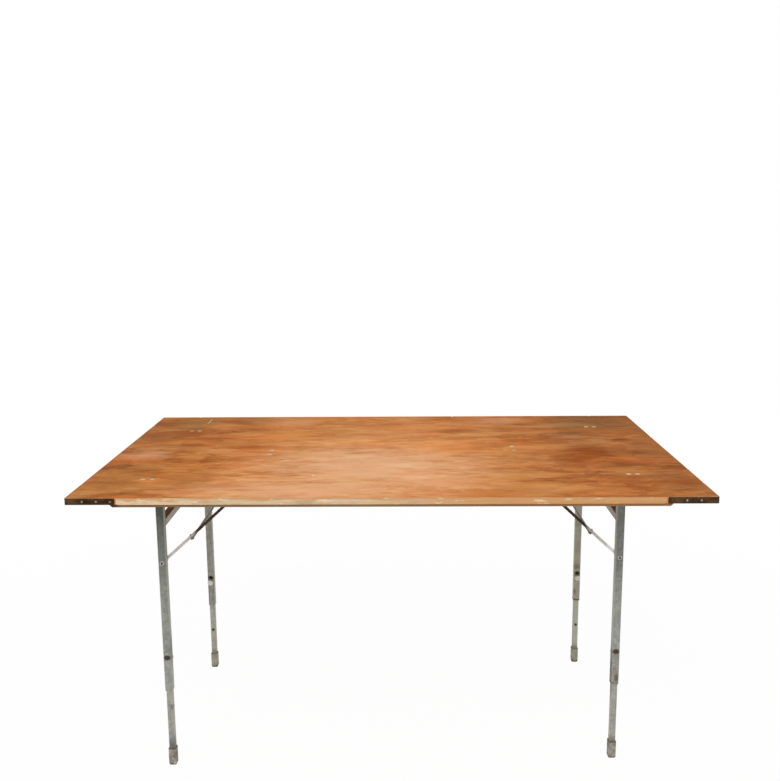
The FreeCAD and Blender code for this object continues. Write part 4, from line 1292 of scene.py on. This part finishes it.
for side in ("left", "right"):
    bolt_mesh = bmesh.new()
    for low, high in solids_of(side + "_stay_bolts"):
        outward = 1 if low.y + high.y > 0 else -1
        radius = (high.x - low.x) / 2
        length = high.y - low.y
        under_head = length - HEAD_HEIGHT
        bolt_profile = [
            (0, 0),
            (BOLT_RADIUS - SHANK_BEVEL, 0),
            (BOLT_RADIUS, SHANK_BEVEL),
            (BOLT_RADIUS, under_head),
            (radius, under_head),
            (radius, under_head + HEAD_LIP),
            (radius * SHOULDER_SHARE, length - SHOULDER_DROP),
            (radius * FACE_SHARE, length),
            (HOLLOW_RADIUS, length - HOLLOW_LIP),
            (HOLLOW_FLOOR_RADIUS, length - HOLLOW_DEPTH),
            (0, length - HOLLOW_DEPTH),
        ]
        turned(bolt_mesh, bolt_profile, start_of(low, high, outward), (0, outward, 0))
    hand_over(
        bolt_mesh, side + "_hollow_bolts", side + "_leg_frame",
        BOLT_STEEL, side + "_stay_bolts")

# %% [markdown]
# ## Peened rivets in the corner irons
# Each iron is held by three rivets in each arm. Their heads are low domes, set proud of the iron by a
# millimetre. Half spheres would do for the heads, but the lathe also gives each its stem. One mesh holds all
# of them, as one node does.

# %% Peen the iron rivets
RIVET_STEM = 0.0018
STEM_DEPTH = 0.0020
HEAD_PROUD = 0.0010
HEAD_SHARE = 0.75
RIVET_SEGMENTS = 24

rivet_mesh = bmesh.new()
for low, high in solids_of("corner_iron_rivets"):
    middle = (low + high) / 2
    on_end = high.x - low.x > high.y - low.y
    if on_end:
        axis = Vector((math.copysign(1, middle.x), 0, 0))
    else:
        axis = Vector((0, math.copysign(1, middle.y), 0))
    radius = (high.z - low.z) / 2 * HEAD_SHARE
    outermost = max(low.dot(axis), high.dot(axis))
    seat = middle + axis * (outermost - HEAD_PROUD - middle.dot(axis))
    stem = [(0, -STEM_DEPTH), (RIVET_STEM, -STEM_DEPTH), (RIVET_STEM, 0)]
    turned(rivet_mesh, stem + crown(radius, HEAD_PROUD, 0), seat, axis, RIVET_SEGMENTS)
hand_over(rivet_mesh, "peened_rivets", "top", IRON_RIVET, "corner_iron_rivets")

# %% [markdown]
# ## Weld beads
# The crossbars and the screw bosses are welded to the legs. A weld is a row of frozen ripples, so a thin
# round bead is swept along its line and its radius rises and falls with each ripple. A plain bevelled curve
# would look like wire.

# %% Shape a weld bead
BEAD_RADIUS = 0.0017
BEAD_RIPPLE = 0.0004
RIPPLE_PITCH = 0.0030
BEAD_POINT_GAP = 0.0006
BEAD_SIDES = 10
BEAD_INSET = 0.0015
BEAD_TAPER = 0.0025
BEAD_TIP = 0.25


def weld_bead(mesh, points, face_normal, closed):
    """A rippled bead along points that lie in one flat face."""
    count = len(points)
    rings = []
    for number, point in enumerate(points):
        if closed:
            ahead_point, behind_point = points[(number + 1) % count], points[number - 1]
            taper = 1.0
        else:
            ahead_point, behind_point = points[min(number + 1, count - 1)], points[max(number - 1, 0)]
            run = min(number, count - 1 - number) * BEAD_POINT_GAP
            taper = min(1.0, BEAD_TIP + run / BEAD_TAPER)
        tangent = (ahead_point - behind_point).normalized()
        across = tangent.cross(face_normal)
        ripple = BEAD_RIPPLE * abs(math.sin(math.pi * number * BEAD_POINT_GAP / RIPPLE_PITCH))
        radius = (BEAD_RADIUS - BEAD_RIPPLE / 2 + ripple) * taper
        ring = []
        for turn in range(BEAD_SIDES):
            angle = 2 * math.pi * turn / BEAD_SIDES
            ring.append(mesh.verts.new(
                point + (across * math.cos(angle) + face_normal * math.sin(angle)) * radius))
        rings.append(ring)
    pairs = list(zip(rings, rings[1:]))
    if closed:
        pairs.append((rings[-1], rings[0]))
    for first, second in pairs:
        for turn in range(BEAD_SIDES):
            after = (turn + 1) % BEAD_SIDES
            mesh.faces.new((first[turn], first[after], second[after], second[turn]))
    if not closed:
        mesh.faces.new(rings[0])
        mesh.faces.new(rings[-1][::-1])


print("bead", round(2000 * BEAD_RADIUS, 1), "mm thick, ripples every", round(1000 * RIPPLE_PITCH, 1), "mm")

# %% [markdown]
# The lines themselves come from the solids. A crossbar's end meets the leg along two straight edges, above
# and below, and a boss meets it in a ring. The ring takes a whole number of ripples, so that its ends join.

# %% Weld the crossbars and the bosses
FACE_NORMAL = Vector((0, 1, 0))


def edge_points(low, high, end_y, edge_z):
    """Points along one edge of a crossbar's end."""
    width = high.x - low.x - 2 * BEAD_INSET
    steps = round(width / BEAD_POINT_GAP)
    places = [low.x + BEAD_INSET + width * number / steps for number in range(steps + 1)]
    return [Vector((x, end_y, edge_z)) for x in places]


def ring_points(low, high):
    """Points round the end of a boss that touches its leg."""
    middle = (low + high) / 2
    radius = (high.x - low.x) / 2
    leg_face = low.y if middle.y < 0 else high.y
    ripples = round(2 * math.pi * radius / RIPPLE_PITCH)
    count = ripples * round(RIPPLE_PITCH / BEAD_POINT_GAP)
    turns = [2 * math.pi * number / count for number in range(count)]
    flat = [(middle.x + radius * math.cos(turn), middle.z + radius * math.sin(turn)) for turn in turns]
    return [Vector((x, leg_face, z)) for x, z in flat]


for side in ("left", "right"):
    weld_mesh = bmesh.new()
    low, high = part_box(side + "_crossbar")
    for end_y in (low.y, high.y):
        for edge_z in (low.z, high.z):
            weld_bead(weld_mesh, edge_points(low, high, end_y, edge_z), FACE_NORMAL, closed=False)
    for low, high in solids_of(side + "_screw_bosses"):
        weld_bead(weld_mesh, ring_points(low, high), FACE_NORMAL, closed=True)
    hand_over(weld_mesh, side + "_weld_beads", side + "_leg_frame", BRACKET_ZINC)

# %% [markdown]
# ## Slotted screws under the rails
# The rails are screwed to the board from below with countersunk screws. A slot across each head is what
# makes it a screw to the eye. A boolean could cut it. Two half discs on a sunk core leave the slot open
# between them without a cut, so the mesh stays clean.

# %% Cut the screw slots
SLOT_HALF = 0.0006
SLOT_DEPTH = 0.0009
HALF_STEPS = 10
HEAD_SINK = 0.0003
SCREW_SHANK = 0.0018
CORE_SHARE = 0.98
CONE_SHARE = 0.7
SCREW_SEGMENTS = 24
TURN_PER_SCREW = math.radians(37)


def half_head(mesh, centre, radius, turn, top_z, bottom_z):
    """A half disc on one side of the slot, closed all round."""
    start = math.asin(SLOT_HALF / radius)
    outline = []
    for number in range(HALF_STEPS + 1):
        angle = start + (math.pi - 2 * start) * number / HALF_STEPS + turn
        outline.append(Vector((math.cos(angle), math.sin(angle), 0)) * radius)
    upper = [mesh.verts.new((centre.x + p.x, centre.y + p.y, top_z)) for p in outline]
    lower = [mesh.verts.new((centre.x + p.x, centre.y + p.y, bottom_z)) for p in outline]
    mesh.faces.new(upper)
    mesh.faces.new(lower[::-1])
    for number in range(len(outline)):
        after = (number + 1) % len(outline)
        mesh.faces.new((upper[number], lower[number], lower[after], upper[after]))


screw_mesh = bmesh.new()
for number, (low, high) in enumerate(solids_of("rail_screws")):
    middle = (low + high) / 2
    radius = (high.x - low.x) / 2
    turn = TURN_PER_SCREW * number
    face = low.z + HEAD_SINK
    for half_turn in (turn, turn + math.pi):
        half_head(screw_mesh, middle, radius, half_turn, face + SLOT_DEPTH, face)
    length = high.z - face
    core = [
        (0, SLOT_DEPTH),
        (radius * CORE_SHARE, SLOT_DEPTH),
        (SCREW_SHANK, SLOT_DEPTH + radius * CONE_SHARE),
        (SCREW_SHANK, length),
        (0, length),
    ]
    turned(screw_mesh, core, (middle.x, middle.y, face), (0, 0, 1), SCREW_SEGMENTS)
hand_over(screw_mesh, "slotted_screws", "top", BOLT_STEEL, "rail_screws")

# %% [markdown]
# ## Sizes
# The dressed table has to stay inside the box of its solids.
